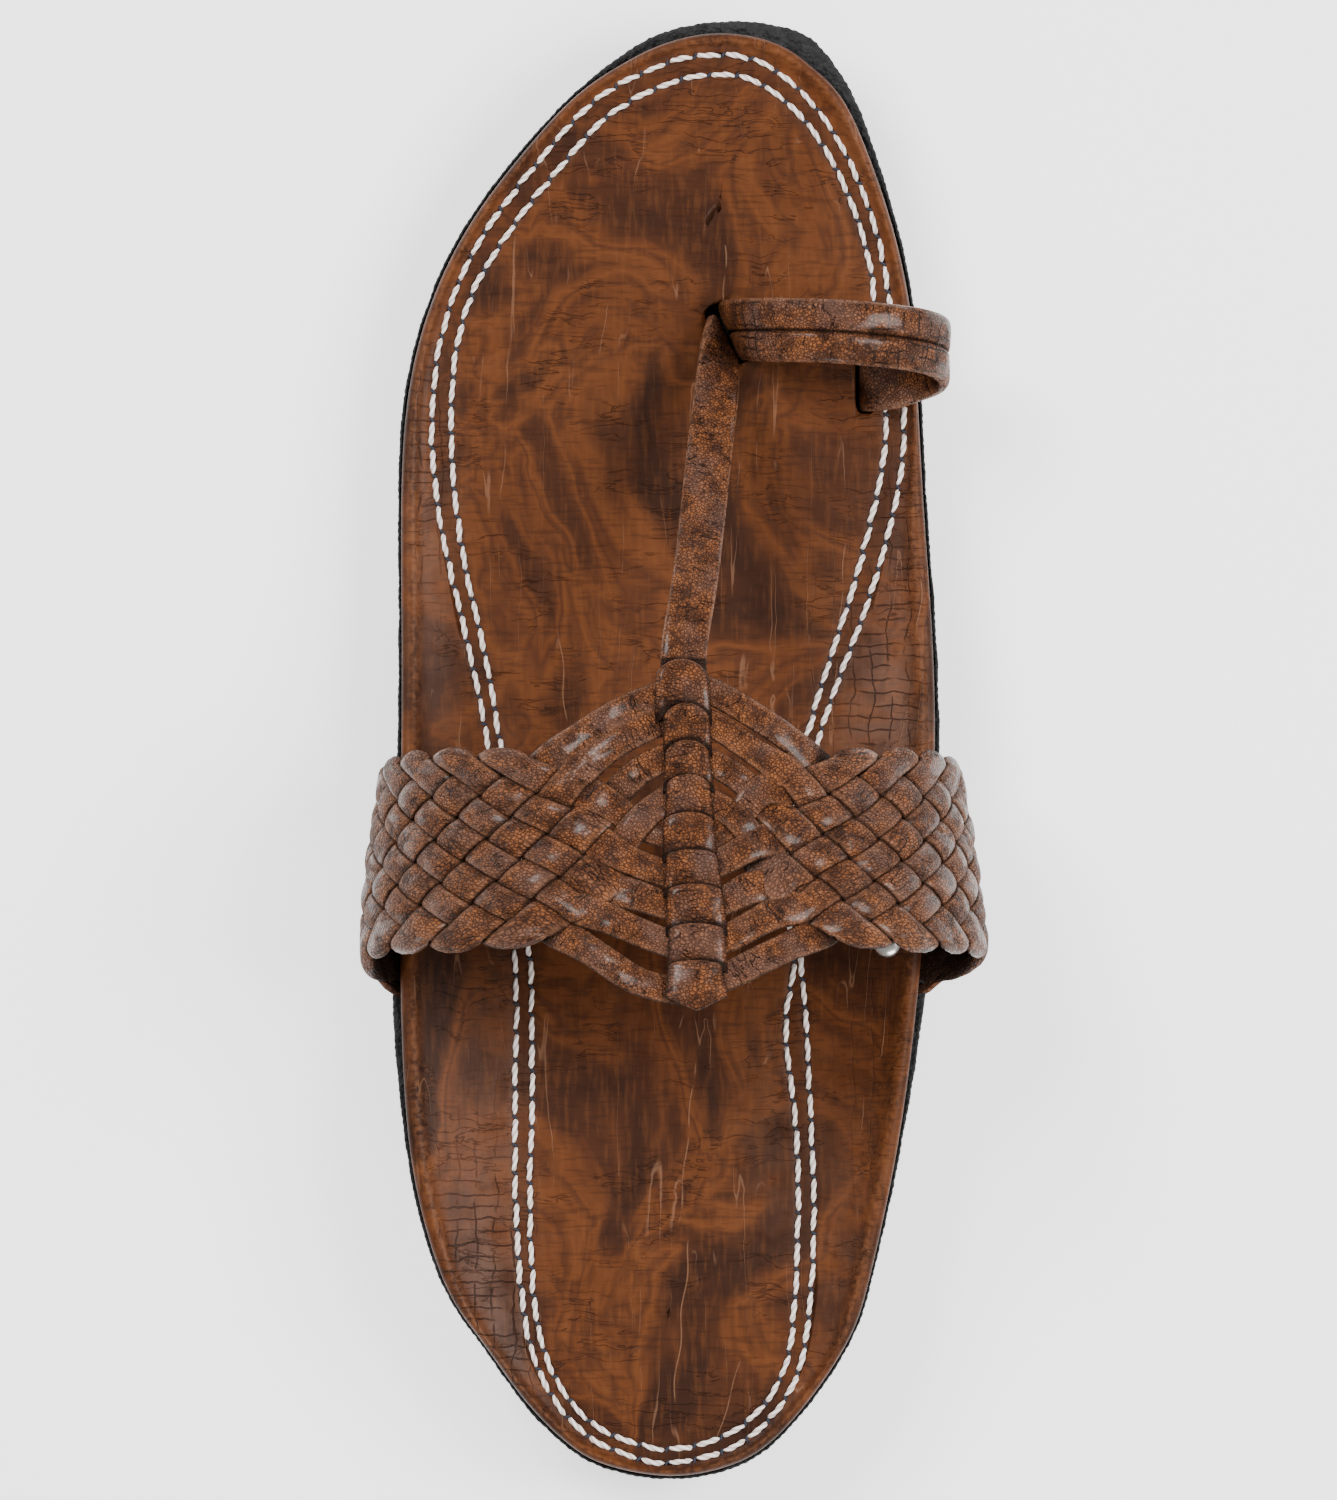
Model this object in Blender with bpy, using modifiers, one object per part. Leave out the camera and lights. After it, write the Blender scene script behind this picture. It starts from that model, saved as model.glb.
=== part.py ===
"""Left sandal with a woven instep band, a centre strap and a loop for the big toe.

Every piece is placed from the sole: X runs across it (+X is the big toe's side), Y from the heel to the toe
and Z up from the floor. The tables give places as shares: "along" is a share of the sole's length from the heel
end, "left" and "right" are shares of half the ball width from the sole's middle line. Lengths are in metres.
"""

import math

import bmesh
import bpy
import numpy as np
from mathutils import Matrix, Vector

# Sole
SOLE_LENGTH = 0.280
BALL_WIDTH = 0.1044
HEEL_HEIGHT = 0.0200
FOREFOOT_HEIGHT = 0.0120
TOE_RISE = 0.0075
TOE_SPRING = 0.0085
ARCH_LIFT = 0.0030
HEEL_BEVEL = 0.0012
LIP_HEIGHT = 0.0030
LIP_STEP = 0.0011

# Footbed
BED = 0.0050
WING_SLOPE = 0.28
RIM_BEAD = 0.0007
RIM_ROLL = 0.0016

# Upper
WALL = 0.0016
STRIP_RAISE = 0.0013
FAN_WIDTH = 0.0052
CROWN_FRONT = 0.048
CROWN_REAR = 0.062
TAB_REACH = 0.0090
SPINE_WIDTH = 0.0092
SPINE_RAISE = 0.0029
SPINE_FOLDS = 8
SPINE_TAIL = 0.860

# Centre strap and toe loop
STRAP_WIDTH = 0.0087
STRAP_THICKNESS = 0.0024
LOOP_WIDTH = 0.0122
LOOP_THICKNESS = 0.0024
LOOP_GROOVE = 0.0007
LOOP_RISE = 0.0262

# Rivet
RIVET_RADIUS = 0.0029
RIVET_DOME = 0.0017
RIVET_BRIM = 0.0004
RIVET_SHANK_RADIUS = 0.0010
RIVET_SHANK = 0.0024
RIVET_LIFT = 0.0004

# Gap left between pieces that touch
GAP = 0.0003
POCKET_RAMP = 0.010
POCKET_MARGIN = 0.004

# Fineness of the meshes
OUTLINE_POINTS = 68
WALL_COLUMNS = 44
WALL_ROWS = 6

# Outlines seen from above, heel end to toe end
SOLE_OUTLINE = (  # along, left, right
    (0.000, 0.014, 0.014),
    (0.007, -0.225, 0.236),
    (0.023, -0.377, 0.380),
    (0.053, -0.536, 0.529),
    (0.094, -0.692, 0.670),
    (0.134, -0.830, 0.746),
    (0.195, -0.931, 0.822),
    (0.256, -0.982, 0.884),
    (0.330, -1.012, 0.945),
    (0.415, -1.009, 0.984),
    (0.499, -0.997, 1.000),
    (0.580, -0.994, 0.989),
    (0.661, -0.996, 0.960),
    (0.735, -0.978, 0.938),
    (0.803, -0.895, 0.909),
    (0.864, -0.736, 0.841),
    (0.918, -0.514, 0.750),
    (0.955, -0.322, 0.667),
    (0.980, -0.145, 0.572),
    (0.994, 0.014, 0.464),
    (1.000, 0.243, 0.243),
)
RIM_OUTLINE = (  # along, left, right
    (0.003, 0.014, 0.014),
    (0.010, -0.217, 0.225),
    (0.025, -0.366, 0.370),
    (0.055, -0.525, 0.518),
    (0.095, -0.681, 0.659),
    (0.134, -0.815, 0.734),
    (0.195, -0.916, 0.808),
    (0.256, -0.962, 0.866),
    (0.330, -0.980, 0.915),
    (0.415, -0.982, 0.955),
    (0.499, -0.980, 0.980),
    (0.580, -0.980, 0.972),
    (0.661, -0.982, 0.944),
    (0.735, -0.962, 0.922),
    (0.801, -0.882, 0.893),
    (0.862, -0.724, 0.822),
    (0.914, -0.512, 0.725),
    (0.949, -0.333, 0.630),
    (0.970, -0.167, 0.514),
    (0.984, -0.010, 0.395),
    (0.991, 0.196, 0.196),
)
SEAM_OUTLINE = (  # along, left, right
    (0.012, -0.004, -0.004),
    (0.018, -0.156, 0.170),
    (0.028, -0.275, 0.286),
    (0.047, -0.384, 0.395),
    (0.077, -0.478, 0.482),
    (0.121, -0.533, 0.522),
    (0.186, -0.558, 0.536),
    (0.258, -0.562, 0.522),
    (0.330, -0.558, 0.500),
    (0.415, -0.587, 0.473),
    (0.499, -0.656, 0.540),
    (0.580, -0.746, 0.694),
    (0.651, -0.833, 0.815),
    (0.722, -0.870, 0.870),
    (0.792, -0.822, 0.830),
    (0.857, -0.667, 0.764),
    (0.914, -0.428, 0.638),
    (0.948, -0.246, 0.507),
    (0.966, -0.065, 0.388),
    (0.974, 0.062, 0.297),
    (0.976, 0.196, 0.196),
)

# Height of the sole's top: shares of heel, forefoot and toe rise
TOP_PROFILE = (  # along, heel, forefoot, toe
    (0.00, 1.02, 0.00, 0.00),
    (0.20, 1.00, 0.00, 0.00),
    (0.34, 0.62, 0.38, 0.00),
    (0.50, 0.16, 0.84, 0.00),
    (0.62, 0.02, 0.98, 0.00),
    (0.74, 0.00, 1.00, 0.04),
    (0.84, 0.00, 1.00, 0.24),
    (0.92, 0.00, 1.00, 0.57),
    (1.00, 0.00, 1.00, 1.00),
)
HEEL_END = 0.04
ARCH_SPAN = (0.27, 0.47)
SPRING_START = 0.74

# Height of a wing across from the seam to the rim, both as shares
WING_RAMP = (  # across, rise
    (0.00, 0.00),
    (0.50, 0.33),
    (0.92, 0.87),
    (1.00, 1.00),
)
WING_MIDDLE, WING_BEAD = WING_RAMP[1][0], WING_RAMP[2][0]

# The instep band, seen from above and from the side
BULGE = (  # along, left, right
    (0.318, -1.045, 1.070),
    (0.357, -1.091, 1.138),
    (0.398, -1.091, 1.125),
    (0.438, -1.066, 1.096),
    (0.479, -1.028, 1.052),
    (0.506, -1.004, 1.020),
)
BAND_EDGES = (  # arc from the crown to the tab's end, front edge along, rear edge along
    (0.00, 0.560, 0.326),
    (0.07, 0.555, 0.330),
    (0.14, 0.532, 0.347),
    (0.21, 0.511, 0.366),
    (0.29, 0.499, 0.371),
    (0.40, 0.498, 0.368),
    (0.55, 0.497, 0.366),
    (0.70, 0.493, 0.362),
    (0.82, 0.487, 0.350),
    (0.90, 0.484, 0.334),
    (1.00, 0.484, 0.330),
)
CROWN_LINE = (  # along, right
    (0.32, 0.105),
    (0.56, 0.047),
)
BAND_SECTION = (  # out from the crown to the bulge, up from the tab to the crown
    (1.000, 0.20),
    (0.965, 0.37),
    (0.880, 0.56),
    (0.735, 0.73),
    (0.535, 0.87),
    (0.280, 0.97),
    (0.000, 1.00),
)

# The weave: rows of crossings from the front edge to the rear edge, columns from the crown to the tab
WEAVE_ROWS = 8
WEAVE_COLUMNS = 4
WEAVE_START = 0.306
WEAVE_PITCH = 0.122
WEAVE_DRIFT = 0.11  # how much nearer the crown each row lies, as a share of the pitch
ODD_ROW_SHIFT = 0.45  # how much further out every second row starts, as a share of the pitch
STRIP_FILL = (0.455, 0.545)  # widths of the forward and the rearward strips, as shares of the pitch
PAD_REACH = 0.82

# Strips that fan out from the spine: from and to, seen from above
FAN = (  # along at the spine, out from the crown to the bulge, along where the strip dives
    (0.539, 0.42, 0.494),
    (0.518, 0.42, 0.468),
    (0.494, 0.20, 0.474),
    (0.465, 0.20, 0.443),
    (0.419, 0.29, 0.440),
    (0.394, 0.27, 0.414),
    (0.369, 0.47, 0.408),
    (0.340, 0.42, 0.377),
)
CROSSINGS = (  # out from the crown to the bulge, along, heading: 1 runs forward to the spine, -1 rearward
    (0.25, 0.464, -1),
    (0.33, 0.446, 1),
    (0.27, 0.413, 1),
)
CROSSING_REACH = (0.075, 0.012)  # out, along
BAND_GAPS = (  # side, out and along of one end, out and along of the other end, width
    (-1, 0.36, 0.381, 0.08, 0.350, 0.0022),
    (1, 0.40, 0.386, 0.11, 0.359, 0.0022),
    (-1, 0.125, 0.435, 0.085, 0.440, 0.0026),
    (1, 0.115, 0.412, 0.215, 0.418, 0.0014),
    (1, 0.105, 0.455, 0.125, 0.442, 0.0016),
)

# Centre lines of the strap and the loop, heights above the footbed
STRAP_LINE = (  # along, right, up as a share of the crown's height in front, turn of its width in degrees
    (0.530, 0.056, 1.075, 0),
    (0.560, 0.058, 1.000, 0),
    (0.592, 0.078, 0.925, 0),
    (0.635, 0.112, 0.775, -3),
    (0.685, 0.141, 0.560, -8),
    (0.732, 0.170, 0.335, -20),
    (0.766, 0.188, 0.150, -45),
    (0.784, 0.191, 0.010, -67),
    (0.784, 0.191, -0.045, -67),
    (0.784, 0.191, -0.092, -67),
)
LOOP_LINE = (  # along, right, up as a share of the loop's rise, turn of its width in degrees
    (0.788, 0.246, -0.168, -67),
    (0.788, 0.246, -0.060, -67),
    (0.788, 0.250, 0.120, -67),
    (0.787, 0.285, 0.500, -74),
    (0.786, 0.370, 0.820, -80),
    (0.785, 0.533, 1.000, -87),
    (0.783, 0.714, 0.985, -90),
    (0.780, 0.877, 0.855, -91),
    (0.776, 0.980, 0.640, -92),
    (0.771, 1.008, 0.440, -92),
    (0.765, 0.975, 0.285, -91),
    (0.760, 0.900, 0.200, -90),
    (0.755, 0.812, 0.150, -90),
    (0.754, 0.752, 0.090, -90),
    (0.754, 0.730, -0.020, -90),
    (0.754, 0.728, -0.100, -90),
    (0.754, 0.728, -0.168, -90),
)
SLOT = (0.786, 0.2185, -67)  # along, right, turn in degrees
SLIT = (0.754, 0.728, -90)
SLOT_ROOM = 0.0008

RIVET_PLACE = (0.368, 0.811)  # along, right

COLOURS = {  # base colour, roughness, metallic
    "outsole": ((0.022, 0.022, 0.023), 0.85, 0.0),
    "footbed": ((0.125, 0.045, 0.018), 0.45, 0.0),
    "upper": ((0.150, 0.060, 0.028), 0.42, 0.0),
    "toe_loop": ((0.140, 0.055, 0.026), 0.42, 0.0),
    "rivet": ((0.720, 0.690, 0.640), 0.25, 1.0),
}


# Curves and outlines

def spline(knots, values, places):
    """Natural cubic spline through the rows at the knots, read at the places."""
    knots = np.asarray(knots, float)
    values = np.asarray(values, float)
    places = np.atleast_1d(np.asarray(places, float))
    steps = np.diff(knots)[:, None]
    slopes = np.diff(values, axis=0) / steps
    system = np.eye(len(knots))
    load = np.zeros_like(values)
    for row in range(1, len(knots) - 1):
        before, after = steps[row - 1, 0], steps[row, 0]
        system[row, row - 1:row + 2] = before, 2 * (before + after), after
        load[row] = 6 * (slopes[row] - slopes[row - 1])
    bend = np.linalg.solve(system, load)
    cell = np.clip(np.searchsorted(knots, places) - 1, 0, len(knots) - 2)
    width = steps[cell]
    ahead = knots[cell + 1][:, None] - places[:, None]
    behind = places[:, None] - knots[cell][:, None]
    return (
        (bend[cell] * ahead**3 + bend[cell + 1] * behind**3) / (6 * width)
        + (values[cell] / width - bend[cell] * width / 6) * ahead
        + (values[cell + 1] / width - bend[cell + 1] * width / 6) * behind
    )


def column(rows, number, place):
    """One column of a table, read between its rows by a spline over the first column."""
    knots = [row[0] for row in rows]
    values = [[row[number]] for row in rows]
    return float(spline(knots, values, min(max(place, knots[0]), knots[-1]))[0, 0])


def arc_steps(points):
    """Length along a chain of points, from 0 at its start."""
    return np.concatenate([[0.0], np.cumsum(np.linalg.norm(np.diff(points, axis=0), axis=1))])


def place(along, side):
    """Shares of the sole turned into X and Y."""
    return side * BALL_WIDTH / 2, along * SOLE_LENGTH


def outline(rows, count):
    """Closed outline through a table: heel end, right side, toe end, left side, back to the heel."""
    right = [place(row[0], row[2]) for row in rows]
    left = [place(row[0], row[1]) for row in rows[-2:0:-1]]
    loop = np.array(right + left)
    wrap = 4
    knots = np.arange(-wrap, len(loop) + wrap + 1)
    return spline(knots, loop[knots % len(loop)], np.arange(count) * len(loop) / count)


SIDE_SAMPLES = 400
SIDES = {
    name: outline(rows, SIDE_SAMPLES)
    for name, rows in (("sole", SOLE_OUTLINE), ("rim", RIM_OUTLINE), ("seam", SEAM_OUTLINE))
}


def edge_x(name, side, y):
    """X of an outline at a place along the sole, on the right (side 1) or the left (side -1)."""
    loop = SIDES[name]
    half = SIDE_SAMPLES // 2
    line = loop[:half + 1] if side > 0 else np.vstack([loop[half:], loop[:1]])[::-1]
    return float(np.interp(y, line[:, 1], line[:, 0]))


def sole_top(y):
    """Height of the sole's top between the seams."""
    share = y / SOLE_LENGTH
    heel, forefoot, toe = (column(TOP_PROFILE, number, share) for number in (1, 2, 3))
    return HEEL_HEIGHT * heel + FOREFOOT_HEIGHT * forefoot + TOE_RISE * toe


def sole_under(y):
    """Height of the underside: flat under heel and forefoot, lifted at the heel end, arch and toe."""
    share = y / SOLE_LENGTH
    if share < HEEL_END:
        return HEEL_BEVEL * ((HEEL_END - share) / HEEL_END) ** 2
    if ARCH_SPAN[0] < share < ARCH_SPAN[1]:
        return ARCH_LIFT * math.sin(math.pi * (share - ARCH_SPAN[0]) / (ARCH_SPAN[1] - ARCH_SPAN[0])) ** 2
    if share > SPRING_START:
        return TOE_SPRING * ((share - SPRING_START) / (1 - SPRING_START)) ** 1.7
    return 0.0


def wing_share(across):
    """Rise of a wing at a share of the way from the seam to the rim."""
    return float(np.interp(across, [row[0] for row in WING_RAMP], [row[1] for row in WING_RAMP]))


def wing_rise(side, y, x):
    """Rise of the footbed at X above its middle, on one side."""
    seam, rim = edge_x("seam", side, y), edge_x("rim", side, y)
    across = (x - seam) / (rim - seam)
    return WING_SLOPE * abs(rim - seam) * wing_share(min(max(across, 0.0), 1.0))


def bed_top(x, y):
    """Height of the footbed's upper surface."""
    side = 1 if x > (edge_x("seam", 1, y) + edge_x("seam", -1, y)) / 2 else -1
    return sole_top(y) + BED + wing_rise(side, y, x)


# Meshes and objects

def add_object(name, mesh, collection):
    body = bpy.data.objects.new(name, mesh)
    collection.objects.link(body)
    return body


def mesh_from(name, points, faces):
    mesh = bpy.data.meshes.new(name)
    mesh.from_pydata([tuple(point) for point in points], [], faces)
    mesh.validate()
    work = bmesh.new()
    work.from_mesh(mesh)
    bmesh.ops.recalc_face_normals(work, faces=work.faces)
    work.to_mesh(mesh)
    work.free()
    return mesh


def material(name):
    colour, roughness, metallic = COLOURS[name]
    made = bpy.data.materials.new(name)
    made.use_nodes = True
    surface = made.node_tree.nodes["Principled BSDF"]
    surface.inputs["Base Color"].default_value = (*colour, 1.0)
    surface.inputs["Roughness"].default_value = roughness
    surface.inputs["Metallic"].default_value = metallic
    made.diffuse_color = (*colour, 1.0)
    return made


def finish(body, smooth_angle=40):
    body.data.materials.append(material(body.name))
    body.data.shade_smooth()
    body.data.set_sharp_from_angle(angle=math.radians(smooth_angle))


def boolean(body, other, operation):
    """Cut or join with another object, which then only serves as a guide."""
    step = body.modifiers.new(f"{operation.lower()} {other.name}", "BOOLEAN")
    step.operation = operation
    step.object = other
    step.solver = "MANIFOLD" if operation == "UNION" else "EXACT"
    other.hide_render = True
    other.display_type = "WIRE"


# Sole and footbed: rings of points that share one numbering, heel end first

def ring_between(inner, outer, share):
    return inner + (outer - inner) * share


def inset(ring, distance):
    """The ring moved inwards, square to its run."""
    run = np.roll(ring, -1, axis=0) - np.roll(ring, 1, axis=0)
    inward = np.column_stack([-run[:, 1], run[:, 0]])
    return ring + distance * inward / np.linalg.norm(inward, axis=1)[:, None]


def middle_line(ring):
    """For each point the middle between it and its partner on the other side, drawn in at both ends."""
    partner = np.roll(ring[::-1], 1, axis=0)
    middle = (ring + partner) / 2
    centre = middle[:, 1].mean()
    middle[:, 1] = centre + (middle[:, 1] - centre) * 0.8
    return middle


def ladder(start, count):
    """Faces that close a ring by steps from its right side to its left side."""
    steps = []
    for row in range(count // 2):
        corners = (row, row + 1, (count - row - 1) % count, (count - row) % count)
        steps.append(tuple(start + corner for corner in dict.fromkeys(corners)))
    return steps


def body_of_rings(name, rings, collection):
    """Closed body from rings of X, Y and Z that run from one middle over the edge to the other middle."""
    count = len(rings[0])
    faces = ladder(0, count)
    for level in range(len(rings) - 1):
        low, high = level * count, (level + 1) * count
        for step in range(count):
            after = (step + 1) % count
            faces.append((low + step, low + after, high + after, high + step))
    faces += ladder((len(rings) - 1) * count, count)
    return add_object(name, mesh_from(name, np.vstack(rings), faces), collection)


def ring_at(flat, heights):
    return np.column_stack([flat, heights])


def sole_rings():
    """The shared outlines, and the sole's top and the wings' full rise at each of their points."""
    sole, rim, seam = (outline(rows, OUTLINE_POINTS) for rows in (SOLE_OUTLINE, RIM_OUTLINE, SEAM_OUTLINE))
    rise = WING_SLOPE * np.linalg.norm(rim - seam, axis=1)
    return sole, rim, seam, rise


def heights(function, flat):
    return np.array([function(y) for y in flat[:, 1]])


def smooth_step(value):
    value = min(max(value, 0.0), 1.0)
    return value * value * (3 - 2 * value)


def pocket(y):
    """Depth of the recess in the sole's top that takes the band's tabs."""
    front, rear = BAND_EDGES[-1][1] * SOLE_LENGTH, BAND_EDGES[-1][2] * SOLE_LENGTH
    ahead = smooth_step((front + POCKET_MARGIN + POCKET_RAMP - y) / POCKET_RAMP)
    behind = smooth_step((y - rear + POCKET_MARGIN + POCKET_RAMP) / POCKET_RAMP)
    return (WALL + 2 * GAP + 0.0003) * ahead * behind


def make_outsole(collection):
    """Rubber sole with a lip round its top edge, a step below the lip and a lifted arch and toe."""
    sole, rim, seam, rise = sole_rings()
    centre = middle_line(seam)
    inner = ring_between(centre, seam, 0.4)
    rings = [ring_at(inner, heights(sole_top, inner) - GAP), ring_at(seam, heights(sole_top, seam) - GAP)]
    for across in (WING_MIDDLE, WING_BEAD, 1.0):
        flat = ring_between(seam, rim, across)
        top = heights(sole_top, flat) + rise * wing_share(across) - GAP - heights(pocket, flat)
        rings.append(ring_at(flat, top))
    edge = rings[-1][:, 2]
    under = heights(sole_under, sole)
    lip_foot = edge - LIP_HEIGHT
    side_foot = under + 0.35 * (lip_foot - under)
    rings += [
        ring_at(ring_between(rim, sole, 0.75), edge - 0.0002),
        ring_at(sole, edge - 0.0010),
        ring_at(sole, lip_foot),
        ring_at(inset(sole, LIP_STEP), lip_foot - 0.0006),
        ring_at(inset(sole, LIP_STEP * 1.2), side_foot),
    ]
    foot = inset(sole, LIP_STEP * 2.6)
    rings.append(ring_at(foot, heights(sole_under, foot)))
    for share in (0.66, 0.33):
        flat = ring_between(centre, foot, share)
        rings.append(ring_at(flat, heights(sole_under, flat)))
    body = body_of_rings("outsole", rings, collection)
    finish(body)
    return body


def make_footbed(collection, guides):
    """Wrapped footbed: flat between the seams, with cupped wings that end in a rolled rim."""
    sole, rim, seam, rise = sole_rings()
    centre = middle_line(seam)
    inner = ring_between(centre, seam, 0.4)
    bead = inset(rim, RIM_ROLL)
    rings = [
        ring_at(inner, heights(sole_top, inner) + BED),
        ring_at(seam, heights(sole_top, seam) + BED),
    ]
    middle = ring_between(seam, rim, WING_MIDDLE)
    rings += [
        ring_at(middle, heights(sole_top, middle) + rise * wing_share(WING_MIDDLE) + BED),
        ring_at(bead, heights(sole_top, bead) + rise * wing_share(WING_BEAD) + BED + RIM_BEAD),
        ring_at(inset(rim, 0.0004), heights(sole_top, rim) + rise + BED - 0.0001),
        ring_at(rim, heights(sole_top, rim) + rise + BED - 0.0012),
        ring_at(rim, heights(sole_top, rim) + rise + 0.0014),
    ]
    for across in (WING_BEAD, WING_MIDDLE):
        flat = ring_between(seam, rim, across)
        rings.append(ring_at(flat, heights(sole_top, flat) + rise * wing_share(across)))
    rings += [ring_at(seam, heights(sole_top, seam)), ring_at(inner, heights(sole_top, inner))]
    body = body_of_rings("footbed", rings, collection)

    slot_size = (LOOP_WIDTH + SLOT_ROOM, STRAP_THICKNESS + LOOP_THICKNESS + 0.0013)
    slit_size = (LOOP_WIDTH + SLOT_ROOM, LOOP_THICKNESS + 2 * SLOT_ROOM)
    for name, spot, size in (("slot cutter", SLOT, slot_size), ("slit cutter", SLIT, slit_size)):
        boolean(body, box_cutter(name, spot, size, guides), "DIFFERENCE")
    shank_hole = rivet_round("rivet hole", RIVET_SHANK_RADIUS + GAP, -RIVET_SHANK - GAP, 0.002, guides)
    boolean(body, shank_hole, "DIFFERENCE")
    finish(body)
    return body


def box_cutter(name, spot, size, guides):
    """Box through the footbed, its long side turned from X by the spot's angle."""
    along, side, turn = spot
    x, y = place(along, side)
    mesh = bpy.data.meshes.new(name)
    work = bmesh.new()
    bmesh.ops.create_cube(work, size=1.0)
    bmesh.ops.scale(work, vec=(*size, 4 * BED), verts=work.verts)
    bmesh.ops.rotate(work, cent=(0, 0, 0), matrix=Matrix.Rotation(math.radians(turn), 3, "Z"), verts=work.verts)
    bmesh.ops.translate(work, vec=(x, y, sole_top(y)), verts=work.verts)
    work.to_mesh(mesh)
    work.free()
    return add_object(name, mesh, guides)


# Rivet

def rivet_frame():
    """Place and tilt of the rivet, which stands square to the footbed's wing."""
    x, y = place(*RIVET_PLACE)
    reach = 0.002
    across = bed_top(x + reach, y) - bed_top(x - reach, y)
    along = bed_top(x, y + reach) - bed_top(x, y - reach)
    normal = Vector((-across, -along, 2 * reach)).normalized()
    turn = Vector((0, 0, 1)).rotation_difference(normal).to_matrix().to_4x4()
    return Matrix.Translation((x, y, bed_top(x, y))) @ turn


def rivet_round(name, radius, low, high, collection):
    """Upright cylinder on the rivet's axis, between two heights above the footbed."""
    mesh = bpy.data.meshes.new(name)
    work = bmesh.new()
    bmesh.ops.create_cone(work, cap_ends=True, segments=16, radius1=radius, radius2=radius, depth=high - low)
    bmesh.ops.translate(work, vec=(0, 0, (high + low) / 2), verts=work.verts)
    bmesh.ops.transform(work, matrix=rivet_frame(), verts=work.verts)
    work.to_mesh(mesh)
    work.free()
    return add_object(name, mesh, collection)


def make_rivet(collection):
    """Domed head on a short shank, turned round one axis."""
    lift = GAP + RIVET_LIFT
    profile = [(0.0, lift + RIVET_DOME)]
    for step in range(1, 5):
        angle = math.radians(90 * step / 5)
        up = lift + RIVET_BRIM + (RIVET_DOME - RIVET_BRIM) * math.cos(angle)
        profile.append((RIVET_RADIUS * math.sin(angle), up))
    profile += [
        (RIVET_RADIUS, lift + RIVET_BRIM),
        (RIVET_RADIUS, lift),
        (RIVET_SHANK_RADIUS, lift),
        (RIVET_SHANK_RADIUS, -RIVET_SHANK),
        (0.0, -RIVET_SHANK),
    ]
    mesh = bpy.data.meshes.new("rivet")
    mesh.from_pydata([(x, 0, z) for x, z in profile], [(i, i + 1) for i in range(len(profile) - 1)], [])
    body = add_object("rivet", mesh, collection)
    turned = body.modifiers.new("turn", "SCREW")
    turned.steps = turned.render_steps = 24
    turned.use_merge_vertices = True
    turned.merge_threshold = 0.00001
    body.matrix_world = rivet_frame()
    body.data.materials.append(material("rivet"))
    return body


# Upper: a wall through sections across the instep, with its strips raised

SECTION_SAMPLES = 120


def tab_height(side, x, y):
    """Middle of the wall where it lies under the footbed."""
    return sole_top(y) + wing_rise(side, y, x) - GAP - WALL / 2 - 0.00015


def crown_height(y):
    """Middle of the wall at the crown, which climbs from the front edge to the rear edge."""
    front, rear = BAND_EDGES[0][1], BAND_EDGES[0][2]
    share = (front - y / SOLE_LENGTH) / (front - rear)
    return sole_top(y) + BED + CROWN_FRONT + (CROWN_REAR - CROWN_FRONT) * share


def band_section(side, y):
    """Half a section across the band: from the crown down to the end of the tab."""
    along = y / SOLE_LENGTH
    rim = edge_x("rim", side, y)
    crown = column(CROWN_LINE, 1, along) * BALL_WIDTH / 2
    bulge = column(BULGE, 2 if side > 0 else 1, along) * BALL_WIDTH / 2
    tab_end, tab_edge = rim - side * TAB_REACH, rim - side * 0.0006
    low, high = tab_height(side, tab_edge, y), crown_height(y)
    points = [(crown + out * (bulge - crown), low + up * (high - low)) for out, up in BAND_SECTION[::-1]]
    points += [
        (rim + 0.62 * (bulge - rim), low + 0.0022),
        (tab_edge, low),
        ((tab_edge + tab_end) / 2, tab_height(side, (tab_edge + tab_end) / 2, y)),
        (tab_end, tab_height(side, tab_end, y)),
    ]
    points = np.array(points)
    mirrored = points[1:3] * (-1, 1) + (2 * points[0, 0], 0)
    knots = arc_steps(np.vstack([mirrored[::-1], points]))
    knots -= knots[2]
    line = spline(knots, np.vstack([mirrored[::-1], points]), np.linspace(0, knots[-1], SECTION_SAMPLES))
    return arc_steps(line) / arc_steps(line)[-1], line


def band_point(arc, y):
    """Point of the wall's middle surface, arc running from -1 at the left tab's end to 1 at the right one's."""
    shares, line = band_section(1 if arc >= 0 else -1, y)
    return np.array([np.interp(abs(arc), shares, line[:, 0]), y, np.interp(abs(arc), shares, line[:, 1])])


def band_normal(arc, y):
    """Outward direction of the wall."""
    step = 0.01
    across = band_point(min(arc + step, 1), y) - band_point(max(arc - step, -1), y)
    run = band_point(arc, y + 0.002) - band_point(arc, y - 0.002)
    normal = np.cross(across, run)
    return normal / np.linalg.norm(normal)


def band_length(side):
    """Length of the wall's middle surface from the crown to the end of the tab, halfway along the band."""
    y = (BAND_EDGES[-1][1] + BAND_EDGES[-1][2]) / 2 * SOLE_LENGTH
    return arc_steps(band_section(side, y)[1])[-1]


def band_y(arc, depth):
    """Y at a share of the way from the front edge to the rear edge."""
    knots = [row[0] for row in BAND_EDGES]
    front, rear = spline(knots, [row[1:] for row in BAND_EDGES], abs(arc))[0] * SOLE_LENGTH
    return front + (rear - front) * depth


def arc_of(side, out, y):
    """Arc share of the point that lies a share of the way out from the crown to the bulge, seen from above."""
    shares, line = band_section(side, y)
    reach = np.abs(line[:, 0] - line[0, 0])
    top = int(np.argmax(reach))
    return side * float(np.interp(out * reach[top], reach[:top + 1], shares[:top + 1]))


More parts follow.
